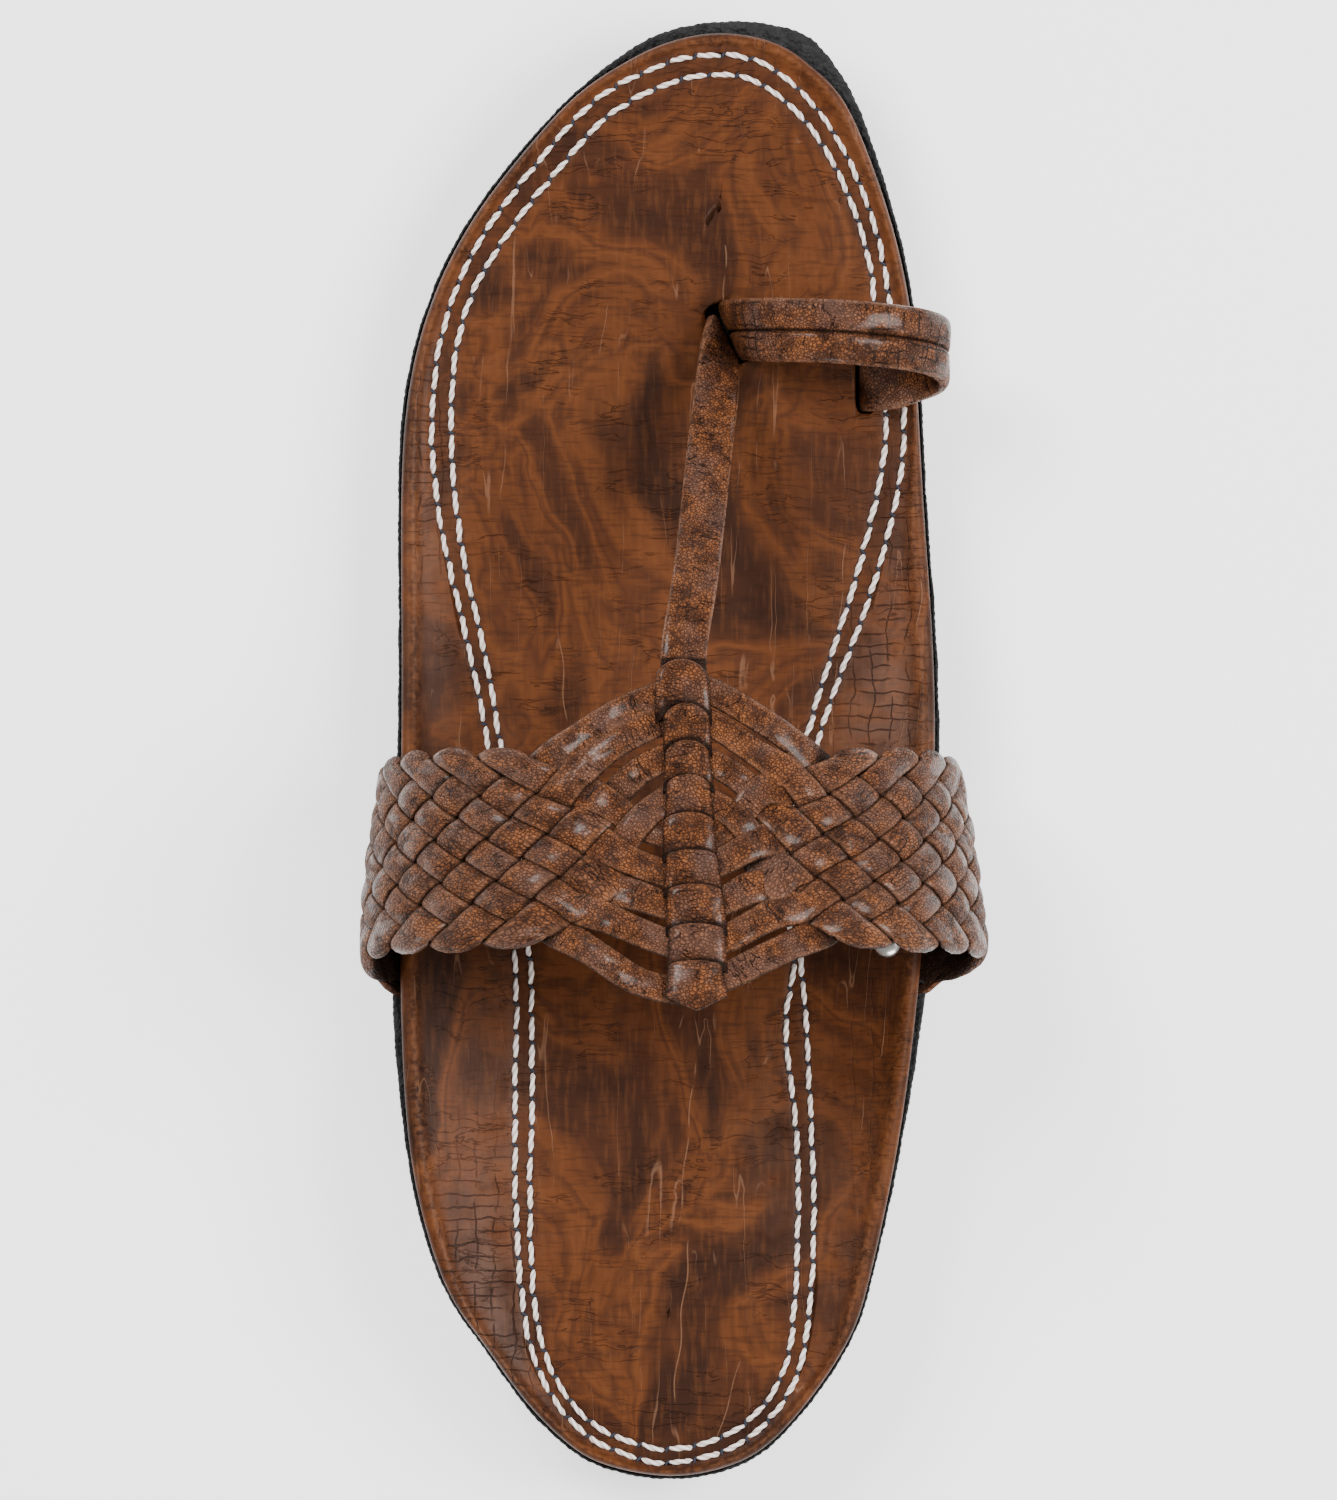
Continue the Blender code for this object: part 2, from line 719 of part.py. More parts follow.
def make_wall(collection):
    """The band's wall: a grid over the instep, thickened to both sides of its middle surface."""
    points, faces = [], []
    for column_number in range(WALL_COLUMNS + 1):
        arc = -1 + 2 * column_number / WALL_COLUMNS
        for row in range(WALL_ROWS + 1):
            points.append(band_point(arc, band_y(arc, row / WALL_ROWS)))
    for column_number in range(WALL_COLUMNS):
        for row in range(WALL_ROWS):
            first = column_number * (WALL_ROWS + 1) + row
            faces.append((first, first + 1, first + WALL_ROWS + 2, first + WALL_ROWS + 1))
    body = add_object("upper", mesh_from("upper", points, faces), collection)
    shell = body.modifiers.new("wall", "SOLIDIFY")
    shell.thickness = WALL
    shell.offset = 0
    return body


# Share of the strip's half width, and of its raise, round a strip's section
STRIP_SECTION = ((-1.0, 0.45), (0.0, 1.0), (1.0, 0.45))


def strip_on_band(path, width, raise_by, ends, depth=0.68 * WALL):
    """Closed strip along arc and Y places, its top raised above the wall and its underside sunk in it.

    The ends say how much of the raise is left at the first and last place.
    """
    sections = []
    centres = [band_point(arc, y) for arc, y in path]
    last = len(path) - 1
    for step, (arc, y) in enumerate(path):
        run = centres[min(step + 1, last)] - centres[max(step - 1, 0)]
        normal = band_normal(arc, y)
        sideways = np.cross(run, normal)
        sideways = sideways / np.linalg.norm(sideways) * width / 2
        face = centres[step] + normal * WALL / 2
        lift = raise_by * {0: ends[0], last: ends[1]}.get(step, 1.0)
        top = [face + sideways * out + normal * lift * up for out, up in STRIP_SECTION]
        under = [face + sideways * out - normal * depth for out in (1, -1)]
        sections.append(np.array(top + under))
    return sections


def solid_of_sections(sections, points, faces):
    """Adds a closed loft through equal sections to the lists."""
    size = len(sections[0])
    start = len(points)
    for section in sections:
        points.extend(section)
    faces.append(tuple(start + corner for corner in range(size)))
    for level in range(len(sections) - 1):
        low = start + level * size
        for corner in range(size):
            after = (corner + 1) % size
            faces.append((low + corner, low + size + corner, low + size + after, low + after))
    top = start + (len(sections) - 1) * size
    faces.append(tuple(top + corner for corner in reversed(range(size))))


def joined(name, groups, guides):
    """One guide object from several closed lofts that lie clear of each other."""
    points, faces = [], []
    for sections in groups:
        solid_of_sections(sections, points, faces)
    return add_object(name, mesh_from(name, points, faces), guides)


def weave_cell(row, number):
    """Arc share of a crossing, counted from the crown."""
    return WEAVE_START + WEAVE_PITCH * (number + ODD_ROW_SHIFT * (row % 2) - WEAVE_DRIFT * row)


def weave_strips(family):
    """The strips that lie on top in every second row of crossings, on both sides of the spine."""
    groups = []
    heading = 1 if family == 0 else -1
    reach = PAD_REACH * WEAVE_PITCH * (0.5 + heading * WEAVE_DRIFT)
    for side in (-1, 1):
        width = STRIP_FILL[family] * WEAVE_PITCH * band_length(side)
        for row in range(family, WEAVE_ROWS, 2):
            depth = (row + 1) / (WEAVE_ROWS + 1)
            for number in range(WEAVE_COLUMNS):
                arc = weave_cell(row, number)
                path = []
                for share in (-1.0, -0.5, 0.5, 1.0):
                    at = side * (arc - share * reach)
                    deep = depth + heading * share * PAD_REACH / (WEAVE_ROWS + 1)
                    path.append((at, band_y(at, deep)))
                groups.append(strip_on_band(path, width, STRIP_RAISE, (0.25, 0.25)))
    return groups


def fan_strips(family):
    """Strips from the spine to the weave: the front ones run rearward, the rear ones forward."""
    groups = []
    for side in (-1, 1):
        for number, (spine, out, along) in enumerate(FAN):
            if number % 2 != family:
                continue
            start, end = spine * SOLE_LENGTH, along * SOLE_LENGTH
            path = []
            for share in (0.0, 0.33, 0.67, 1.0):
                y = start + (end - start) * share
                path.append((arc_of(side, 0.03 + (out - 0.03) * share, y), y))
            groups.append(strip_on_band(path, FAN_WIDTH, STRIP_RAISE, (1.0, 0.25)))
    return groups


def crossing_strips(direction):
    """Short lengths of strip that cross between the fan and the weave."""
    groups = []
    for side in (-1, 1):
        for out, along, heading in CROSSINGS:
            if heading != direction:
                continue
            path = []
            for share in (-1.0, -0.4, 0.4, 1.0):
                y = (along - heading * share * CROSSING_REACH[1]) * SOLE_LENGTH
                path.append((arc_of(side, out + share * CROSSING_REACH[0], y), y))
            groups.append(strip_on_band(path, FAN_WIDTH, STRIP_RAISE, (0.25, 0.25)))
    return groups


def spine_y(share):
    """Y at a share of the spine's run from front to rear."""
    front, rear = BAND_EDGES[0][1], BAND_EDGES[0][2]
    return (front + (rear - front) * share) * SOLE_LENGTH


def spine_folds():
    """Folds of the centre strip over the fan's strips, and its pointed tail."""
    groups = []
    fold = (SPINE_TAIL - 0.004) / SPINE_FOLDS
    for number in range(SPINE_FOLDS):
        path = [(0.0, spine_y(fold * (number + share))) for share in (0.02, 0.2, 0.8, 0.98)]
        groups.append(strip_on_band(path, SPINE_WIDTH, SPINE_RAISE, (0.72, 0.72)))
    tail = [(0.0, spine_y(share)) for share in (SPINE_TAIL, 0.89, 0.95, 0.985)]
    sections = strip_on_band(tail, SPINE_WIDTH, SPINE_RAISE * 0.8, (0.8, 0.5))
    centre = sections[-1].mean(axis=0)
    sections[-1] = centre + (sections[-1] - centre) * (0.45, 1, 1)
    groups.append(sections)
    return groups


def band_gaps():
    """Openings between the fan's strips, cut through the wall."""
    groups = []
    for side, out_a, along_a, out_b, along_b, width in BAND_GAPS:
        ends = [(arc_of(side, out, along * SOLE_LENGTH), along * SOLE_LENGTH)
                for out, along in ((out_a, along_a), (out_b, along_b))]
        middle = tuple((first + second) / 2 for first, second in zip(*ends))
        groups.append(strip_on_band([ends[0], middle, ends[1]], width, 0.004, (0.8, 0.8), depth=WALL + 0.004))
    return groups


# Strap and loop: flat bands along a line, with a width that turns

def strap_sections(rows, rise, width, thickness, groove, steps):
    """Sections of a strap along a table's line, its outer face up or outwards."""
    line = []
    for along, side, up, turn in rows:
        x, y = place(along, side)
        line.append((x, y, sole_top(y) + BED + up * rise, math.radians(turn)))
    line = np.array(line)
    knots = arc_steps(line[:, :3])
    fine = spline(knots, line, np.linspace(0, knots[-1], steps))
    sections = []
    for step in range(steps):
        run = fine[min(step + 1, steps - 1), :3] - fine[max(step - 1, 0), :3]
        run /= np.linalg.norm(run)
        turn = fine[step, 3]
        sideways = np.array([math.cos(turn), math.sin(turn), 0.0])
        sideways -= run * np.dot(run, sideways)
        sideways /= np.linalg.norm(sideways)
        normal = np.cross(sideways, run)
        half, edge = width / 2, thickness * 0.28
        shape = [
            (-half, -thickness / 2 + edge), (-half, thickness / 2 - edge), (-half + edge, thickness / 2),
            (0, thickness / 2 - groove), (half - edge, thickness / 2), (half, thickness / 2 - edge),
            (half, -thickness / 2 + edge), (half - edge, -thickness / 2), (-half + edge, -thickness / 2),
        ]
        sections.append(np.array([fine[step, :3] + sideways * out + normal * up for out, up in shape]))
    return sections


def fill_slivers(body):
    """Bakes the modifiers and drops the sealed slivers between crossing strips, so that they fill up."""
    graph = bpy.context.evaluated_depsgraph_get()
    mesh = bpy.data.meshes.new_from_object(body.evaluated_get(graph))
    body.modifiers.clear()
    body.data = mesh
    work = bmesh.new()
    work.from_mesh(mesh)
    shells, seen = [], set()
    for first in work.verts:
        if first in seen:
            continue
        shell, waiting = [], [first]
        seen.add(first)
        while waiting:
            point = waiting.pop()
            shell.append(point)
            for edge in point.link_edges:
                other = edge.other_vert(point)
                if other not in seen:
                    seen.add(other)
                    waiting.append(other)
        shells.append(shell)
    outer = max(shells, key=len)
    slivers = [point for shell in shells if shell is not outer for point in shell]
    bmesh.ops.delete(work, geom=slivers, context="VERTS")
    work.to_mesh(mesh)
    work.free()


def make_upper(collection, guides):
    """The woven band with its spine and the strap that runs forward to the toes, as one solid."""
    body = make_wall(collection)
    boolean(body, joined("band gaps", band_gaps(), guides), "DIFFERENCE")
    for family, name in enumerate(("forward strips", "rearward strips")):
        boolean(body, joined(name, weave_strips(family), guides), "UNION")
    for family, name in enumerate(("fan strips", "other fan strips")):
        boolean(body, joined(name, fan_strips(family), guides), "UNION")
    for heading, name in ((-1, "crossing strips"), (1, "other crossing strips")):
        boolean(body, joined(name, crossing_strips(heading), guides), "UNION")
    boolean(body, joined("spine folds", spine_folds(), guides), "UNION")
    strap = strap_sections(STRAP_LINE, CROWN_FRONT, STRAP_WIDTH, STRAP_THICKNESS, 0.0002, 22)
    boolean(body, joined("centre strap", [strap], guides), "UNION")
    fill_slivers(body)
    finish(body)
    return body


def make_toe_loop(collection):
    """Doubled strap with a groove along its middle, arched over the big toe into the footbed's slit."""
    sections = strap_sections(LOOP_LINE, LOOP_RISE, LOOP_WIDTH, LOOP_THICKNESS, LOOP_GROOVE, 34)
    points, faces = [], []
    solid_of_sections(sections, points, faces)
    body = add_object("toe_loop", mesh_from("toe_loop", points, faces), collection)
    finish(body)
    return body


def centre_on_origin(bodies, others):
    """Moves everything so that the origin is under the middle of the sandal's box."""
    graph = bpy.context.evaluated_depsgraph_get()
    corners = []
    for body in bodies:
        solid = body.evaluated_get(graph)
        corners += [body.matrix_world @ Vector(corner) for corner in solid.bound_box]
    low = Vector(min(corner[axis] for corner in corners) for axis in range(3))
    high = Vector(max(corner[axis] for corner in corners) for axis in range(3))
    shift = Matrix.Translation((-(low.x + high.x) / 2, -(low.y + high.y) / 2, -low.z))
    for thing in [*bodies, *others]:
        thing.matrix_world = shift @ thing.matrix_world


def main():
    for thing in list(bpy.data.objects):
        bpy.data.objects.remove(thing, do_unlink=True)
    sandal = bpy.data.collections.new("sandal")
    guides = bpy.data.collections.new("guides")
    for collection in (sandal, guides):
        bpy.context.scene.collection.children.link(collection)
    bodies = [
        make_outsole(sandal),
        make_footbed(sandal, guides),
        make_upper(sandal, guides),
        make_toe_loop(sandal),
        make_rivet(sandal),
    ]
    bpy.context.view_layer.update()
    centre_on_origin(bodies, list(guides.objects))


main()
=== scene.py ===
import math

import bpy
import numpy as np
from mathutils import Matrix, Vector


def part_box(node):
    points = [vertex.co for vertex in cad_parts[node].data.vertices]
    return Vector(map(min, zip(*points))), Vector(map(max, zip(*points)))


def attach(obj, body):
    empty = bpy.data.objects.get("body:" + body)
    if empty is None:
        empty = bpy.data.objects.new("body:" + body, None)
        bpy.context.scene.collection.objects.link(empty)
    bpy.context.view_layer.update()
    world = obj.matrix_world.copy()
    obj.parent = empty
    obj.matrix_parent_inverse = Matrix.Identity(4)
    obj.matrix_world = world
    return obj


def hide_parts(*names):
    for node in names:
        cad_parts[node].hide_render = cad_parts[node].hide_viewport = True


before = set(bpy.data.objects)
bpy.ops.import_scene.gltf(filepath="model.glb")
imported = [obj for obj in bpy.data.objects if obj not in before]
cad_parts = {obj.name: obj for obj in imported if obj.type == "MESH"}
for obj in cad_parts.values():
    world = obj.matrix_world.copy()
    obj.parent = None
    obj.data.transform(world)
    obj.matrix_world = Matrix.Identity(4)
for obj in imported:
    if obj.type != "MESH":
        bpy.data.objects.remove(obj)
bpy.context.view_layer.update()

# Lengths in metres. Tables of outlines are shares: "along" of the sole's length from the heel end, "left" and
# "right" of half the ball width from the sole's middle line.
SOLE_LENGTH = 0.280
HALF_BALL = 0.0522
HEEL_HEIGHT, FOREFOOT_HEIGHT, TOE_RISE = 0.0200, 0.0120, 0.0075
TOE_SPRING, ARCH_LIFT, HEEL_BEVEL = 0.0085, 0.0030, 0.0012
BED, WING_SLOPE = 0.0050, 0.28
CROWN_FRONT, CROWN_REAR = 0.048, 0.062
WALL, GAP, TAB_REACH = 0.0016, 0.0003, 0.0090
LIP_HEIGHT, LIP_STEP = 0.0030, 0.0011

SOLE_OUTLINE = (  # along, left, right
    (0.000, 0.014, 0.014), (0.007, -0.225, 0.236), (0.023, -0.377, 0.380), (0.053, -0.536, 0.529),
    (0.094, -0.692, 0.670), (0.134, -0.830, 0.746), (0.195, -0.931, 0.822), (0.256, -0.982, 0.884),
    (0.330, -1.012, 0.945), (0.415, -1.009, 0.984), (0.499, -0.997, 1.000), (0.580, -0.994, 0.989),
    (0.661, -0.996, 0.960), (0.735, -0.978, 0.938), (0.803, -0.895, 0.909), (0.864, -0.736, 0.841),
    (0.918, -0.514, 0.750), (0.955, -0.322, 0.667), (0.980, -0.145, 0.572), (0.994, 0.014, 0.464),
    (1.000, 0.243, 0.243),
)
RIM_OUTLINE = (  # along, left, right
    (0.003, 0.014, 0.014), (0.010, -0.217, 0.225), (0.025, -0.366, 0.370), (0.055, -0.525, 0.518),
    (0.095, -0.681, 0.659), (0.134, -0.815, 0.734), (0.195, -0.916, 0.808), (0.256, -0.962, 0.866),
    (0.330, -0.980, 0.915), (0.415, -0.982, 0.955), (0.499, -0.980, 0.980), (0.580, -0.980, 0.972),
    (0.661, -0.982, 0.944), (0.735, -0.962, 0.922), (0.801, -0.882, 0.893), (0.862, -0.724, 0.822),
    (0.914, -0.512, 0.725), (0.949, -0.333, 0.630), (0.970, -0.167, 0.514), (0.984, -0.010, 0.395),
    (0.991, 0.196, 0.196),
)
SEAM_OUTLINE = (  # along, left, right: the outer row of stitches
    (0.012, -0.004, -0.004), (0.018, -0.156, 0.170), (0.028, -0.275, 0.286), (0.047, -0.384, 0.395),
    (0.077, -0.478, 0.482), (0.121, -0.533, 0.522), (0.186, -0.558, 0.536), (0.258, -0.562, 0.522),
    (0.330, -0.558, 0.500), (0.415, -0.587, 0.473), (0.499, -0.656, 0.540), (0.580, -0.746, 0.694),
    (0.651, -0.833, 0.815), (0.722, -0.870, 0.870), (0.792, -0.822, 0.830), (0.857, -0.667, 0.764),
    (0.914, -0.428, 0.638), (0.948, -0.246, 0.507), (0.966, -0.065, 0.388), (0.974, 0.062, 0.297),
    (0.976, 0.196, 0.196),
)
ROW_SPACING = (  # along, left and right distance in mm between the two rows of stitches
    (0.00, 2.7, 2.7), (0.05, 2.4, 2.6), (0.13, 2.3, 3.0), (0.20, 2.8, 3.0), (0.26, 3.3, 3.2), (0.33, 2.9, 3.1),
    (0.35, 2.9, 1.5), (0.38, 2.6, 1.5), (0.44, 2.4, 2.2), (0.51, 2.3, 2.3), (0.56, 2.8, 3.0), (0.60, 2.8, 3.4),
    (0.64, 3.2, 3.8), (0.70, 3.7, 3.6), (0.75, 3.6, 3.3), (0.80, 3.2, 2.8), (0.86, 3.8, 2.7), (0.93, 3.8, 3.2),
    (0.98, 3.8, 3.8),
)
TOP_PROFILE = (  # along, then shares of the heel height, forefoot height and toe rise
    (0.00, 1.02, 0.00, 0.00), (0.20, 1.00, 0.00, 0.00), (0.34, 0.62, 0.38, 0.00), (0.50, 0.16, 0.84, 0.00),
    (0.62, 0.02, 0.98, 0.00), (0.74, 0.00, 1.00, 0.04), (0.84, 0.00, 1.00, 0.24), (0.92, 0.00, 1.00, 0.57),
    (1.00, 0.00, 1.00, 1.00),
)
BULGE = (  # along, left, right
    (0.318, -1.045, 1.070), (0.357, -1.091, 1.138), (0.398, -1.091, 1.125), (0.438, -1.066, 1.096),
    (0.479, -1.028, 1.052), (0.506, -1.004, 1.020),
)
BAND_EDGES = (  # arc from the crown to the tab's end, front edge along, rear edge along
    (0.00, 0.560, 0.326), (0.07, 0.555, 0.330), (0.14, 0.532, 0.347), (0.21, 0.511, 0.366),
    (0.29, 0.499, 0.371), (0.40, 0.498, 0.368), (0.55, 0.497, 0.366), (0.70, 0.493, 0.362),
    (0.82, 0.487, 0.350), (0.90, 0.484, 0.334), (1.00, 0.484, 0.330),
)
CROWN_LINE = ((0.32, 0.105), (0.56, 0.047))  # along, right
BAND_SECTION = (  # out from the crown to the bulge, up from the tab to the crown
    (0.000, 1.00), (0.280, 0.97), (0.535, 0.87), (0.735, 0.73), (0.880, 0.56), (0.965, 0.37), (1.000, 0.20),
)
STRAP_LINE = (  # along, right, up as a share of the crown's height in front, turn of its width in degrees
    (0.543, 0.058, 1.000, 0), (0.566, 0.058, 0.968, 0), (0.592, 0.078, 0.925, 0), (0.635, 0.112, 0.775, -3),
    (0.685, 0.141, 0.560, -8), (0.732, 0.170, 0.335, -20), (0.766, 0.188, 0.150, -45), (0.784, 0.191, 0.010, -67),
    (0.784, 0.191, -0.045, -67), (0.784, 0.191, -0.092, -67),
)
LOOP_LINE = (  # along, right, up as a share of the loop's rise, turn of its width in degrees
    (0.788, 0.246, -0.168, -67), (0.788, 0.246, -0.060, -67), (0.788, 0.250, 0.120, -67),
    (0.787, 0.285, 0.500, -74), (0.786, 0.370, 0.820, -80), (0.785, 0.533, 1.000, -87),
    (0.783, 0.714, 0.985, -90), (0.780, 0.877, 0.855, -91), (0.776, 0.980, 0.640, -92),
    (0.771, 1.008, 0.440, -92), (0.765, 0.975, 0.285, -91), (0.760, 0.900, 0.200, -90),
    (0.755, 0.812, 0.150, -90), (0.754, 0.752, 0.090, -90), (0.754, 0.730, -0.020, -90),
    (0.754, 0.728, -0.100, -90), (0.754, 0.728, -0.168, -90),
)
STRAP_WIDTH, STRAP_THICKNESS = 0.0087, 0.0024
LOOP_WIDTH, LOOP_THICKNESS, LOOP_RISE = 0.0122, 0.0024, 0.0262
SLOT = (0.7855, 0.2185, -67, 0.0126, 0.0056)  # along, right, turn in degrees, length, width
SLIT = (0.754, 0.728, -90, 0.0130, 0.0040)
RIVET_PLACE = (0.368, 0.811)  # along, right


# Curves and outlines

def spline(knots, values, places):
    """Natural cubic spline: a cubic between each two rows, with slope and bend the same on both sides of a row."""
    knots, values = np.asarray(knots, float), np.asarray(values, float)
    places = np.atleast_1d(np.asarray(places, float))
    steps = np.diff(knots)[:, None]
    slopes = np.diff(values, axis=0) / steps
    system, load = np.eye(len(knots)), np.zeros_like(values)
    for row in range(1, len(knots) - 1):
        before, after = steps[row - 1, 0], steps[row, 0]
        system[row, row - 1:row + 2] = before, 2 * (before + after), after
        load[row] = 6 * (slopes[row] - slopes[row - 1])
    bend = np.linalg.solve(system, load)
    cell = np.clip(np.searchsorted(knots, places) - 1, 0, len(knots) - 2)
    width = steps[cell]
    ahead, behind = knots[cell + 1][:, None] - places[:, None], places[:, None] - knots[cell][:, None]
    return (
        (bend[cell] * ahead**3 + bend[cell + 1] * behind**3) / (6 * width)
        + (values[cell] / width - bend[cell] * width / 6) * ahead
        + (values[cell + 1] / width - bend[cell + 1] * width / 6) * behind
    )


def read(rows, number, places):
    """One column of a table at many places: the spline over its first column, held at both ends."""
    table, places = np.array(rows), np.asarray(places, float)
    held = np.clip(places, table[0, 0], table[-1, 0])
    return spline(table[:, 0], table[:, [number]], held.ravel())[:, 0].reshape(places.shape)


def arc_steps(points):
    """Length along a chain of points: the running sum of the distances between neighbours."""
    return np.concatenate([[0.0], np.cumsum(np.linalg.norm(np.diff(points, axis=0), axis=1))])


def smooth(value):
    """Smooth step: 3 v squared minus 2 v cubed, with v held between 0 and 1."""
    value = np.clip(value, 0.0, 1.0)
    return value * value * (3 - 2 * value)


def outline(rows, count):
    """Closed outline through a table by a spline over its rows: heel end, right side, toe end, left side."""
    right = [(row[2] * HALF_BALL, row[0] * SOLE_LENGTH) for row in rows]
    left = [(row[1] * HALF_BALL, row[0] * SOLE_LENGTH) for row in rows[-2:0:-1]]
    loop = np.array(right + left)
    knots = np.arange(-4, len(loop) + 5)
    return spline(knots, loop[knots % len(loop)], np.arange(count) * len(loop) / count)


SIDES = {name: outline(rows, 400) for name, rows in (("sole", SOLE_OUTLINE), ("rim", RIM_OUTLINE),
                                                     ("seam", SEAM_OUTLINE))}


def edge_x(name, side, y):
    """X of an outline at Y, on the right (side 1) or the left (side -1), by straight steps between its points."""
    loop = SIDES[name]
    line = loop[:201] if side > 0 else np.vstack([loop[200:], loop[:1]])[::-1]
    return np.interp(y, line[:, 1], line[:, 0])


def sole_top(y):
    """Height of the sole's top between the seams: heel, forefoot and toe heights mixed by the profile's shares."""
    share = np.asarray(y) / SOLE_LENGTH
    heel, forefoot, toe = (read(TOP_PROFILE, number, share) for number in (1, 2, 3))
    return HEEL_HEIGHT * heel + FOREFOOT_HEIGHT * forefoot + TOE_RISE * toe


def sole_under(y):
    """Height of the underside: zero, plus a squared bevel at the heel, a sine hump at the arch, a power at the toe."""
    share = np.asarray(y) / SOLE_LENGTH
    heel = HEEL_BEVEL * np.clip((0.04 - share) / 0.04, 0, 1) ** 2
    arch = ARCH_LIFT * np.sin(np.pi * np.clip((share - 0.27) / 0.20, 0, 1)) ** 2
    toe = TOE_SPRING * np.clip((share - 0.74) / 0.26, 0, 1) ** 1.7
    return heel + arch + toe


def wing_share(across):
    """Rise of a wing from the seam (0) to the rim (1): the share to the power 1.6."""
    return np.clip(across, 0, 1) ** 1.6


def bed_top(x, y):
    """Height of the footbed's upper surface: the sole's top, the bed and the wing's rise at X."""
    x, y = np.asarray(x, float), np.asarray(y, float)
    rise = 0.0
    for side in (-1, 1):
        seam, rim = edge_x("seam", side, y), edge_x("rim", side, y)
        across = np.clip((x - seam) / (rim - seam), 0, 1)
        rise = rise + WING_SLOPE * np.abs(rim - seam) * wing_share(across)
    return sole_top(y) + BED + rise


# Meshes

outsole_low = np.array(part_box("outsole")[0])
SHIFT = np.array([outsole_low[0] - SIDES["sole"][:, 0].min(), outsole_low[1] - SIDES["sole"][:, 1].min(), 0.0])


def grid_faces(rows, columns, wrap_rows=False, wrap_columns=False, start=0):
    """Quads of a grid of points numbered row by row, closed round either way if asked."""
    row = np.arange(rows if wrap_rows else rows - 1)[:, None]
    column = np.arange(columns if wrap_columns else columns - 1)[None, :]
    after_row, after_column = (row + 1) % rows, (column + 1) % columns
    corners = [row * columns + column, row * columns + after_column,
               after_row * columns + after_column, after_row * columns + column]
    return np.stack([np.broadcast_to(corner, (row.shape[0], column.shape[1])) for corner in corners],
                    axis=-1).reshape(-1, 4) + start


class Shape:
    """Points, faces and point values of one mesh, gathered part by part."""

    def __init__(self):
        self.points, self.faces, self.values, self.count = [], [], {}, 0

    def add(self, points, faces, **values):
        """Adds a closed part, its faces turned outwards by the sign of its volume."""
        points = np.asarray(points, float).reshape(-1, 3)
        quads = np.array([face for face in faces if len(face) == 4])
        centre = points.mean(axis=0)
        a, b, c, d = (points[quads[:, corner]] - centre for corner in range(4))
        volume = (a * np.cross(b, c)).sum() + (a * np.cross(c, d)).sum()
        for face in faces:
            turned = list(face) if volume >= 0 else list(face)[::-1]
            self.faces.append([int(corner) + self.count for corner in turned])
        self.points.append(points)
        for name, value in values.items():
            value = np.asarray(value, float)
            self.values.setdefault(name, []).append(value.reshape(len(points), -1))
        self.count += len(points)

    def build(self, name, material, slot, body="root", replaces=(), sharp=None):
        points = np.vstack(self.points) + SHIFT
        mesh = bpy.data.meshes.new(name)
        mesh.from_pydata(points.tolist(), [], self.faces)
        mesh.polygons.foreach_set("use_smooth", [True] * len(mesh.polygons))
        if sharp:
            mesh.set_sharp_from_angle(angle=math.radians(sharp))
        for key, parts in self.values.items():
            value = np.vstack(parts)
            kind = "FLOAT" if value.shape[1] == 1 else "FLOAT_VECTOR"
            layer = mesh.attributes.new(key, kind, "POINT")
            layer.data.foreach_set("value" if value.shape[1] == 1 else "vector", value.ravel())
        mesh.update()
        piece = bpy.data.objects.new(name, mesh)
        bpy.context.scene.collection.objects.link(piece)
        mesh.materials.append(material)
        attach(piece, body)
        if replaces:
            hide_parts(*replaces)
        return piece


def tube(sections, shape, **values):
    """Closed loft: rings of equal length joined one after the other, with a face on each end."""
    rings, around = sections.shape[:2]
    faces = grid_faces(rings, around, wrap_columns=True).tolist()
    faces.append(list(range(around))[::-1])
    faces.append([(rings - 1) * around + corner for corner in range(around)])
    shape.add(sections, faces, **values)


def ladder(start, count):
    """Faces that close a ring of points by steps from its right side to its left side."""
    steps = []
    for row in range(count // 2):
        corners = (row, row + 1, (count - row - 1) % count, (count - row) % count)
        steps.append([start + corner for corner in dict.fromkeys(corners)])
    return steps


def inset(ring, distance):
    """A ring moved inwards, square to its run, by one distance or one for each point."""
    run = np.roll(ring, -1, axis=0) - np.roll(ring, 1, axis=0)
    inward = np.column_stack([-run[:, 1], run[:, 0]])
    return ring + np.reshape(distance, (-1, 1)) * inward / np.linalg.norm(inward, axis=1)[:, None]


def middle_line(ring):
    """For each point the middle between it and its partner on the other side, drawn in at both ends."""
    middle = (ring + np.roll(ring[::-1], 1, axis=0)) / 2
    centre = middle[:, 1].mean()
    middle[:, 1] = centre + (middle[:, 1] - centre) * 0.8
    return middle


def inner_row(seam):
    """The inner row of stitches: the seam moved inwards by the table's distance for its side."""
    along = seam[:, 1] / SOLE_LENGTH
    left, right = (read(ROW_SPACING, number, along) / 1000 for number in (1, 2))
    middle = (edge_x("seam", 1, seam[:, 1]) + edge_x("seam", -1, seam[:, 1])) / 2
    share = smooth((seam[:, 0] - middle) / 0.010 + 0.5)
    spacing = left + (right - left) * share
    spacing = sum(np.roll(spacing, step) for step in range(-4, 5)) / 9
    return inset(seam, spacing)


# Materials

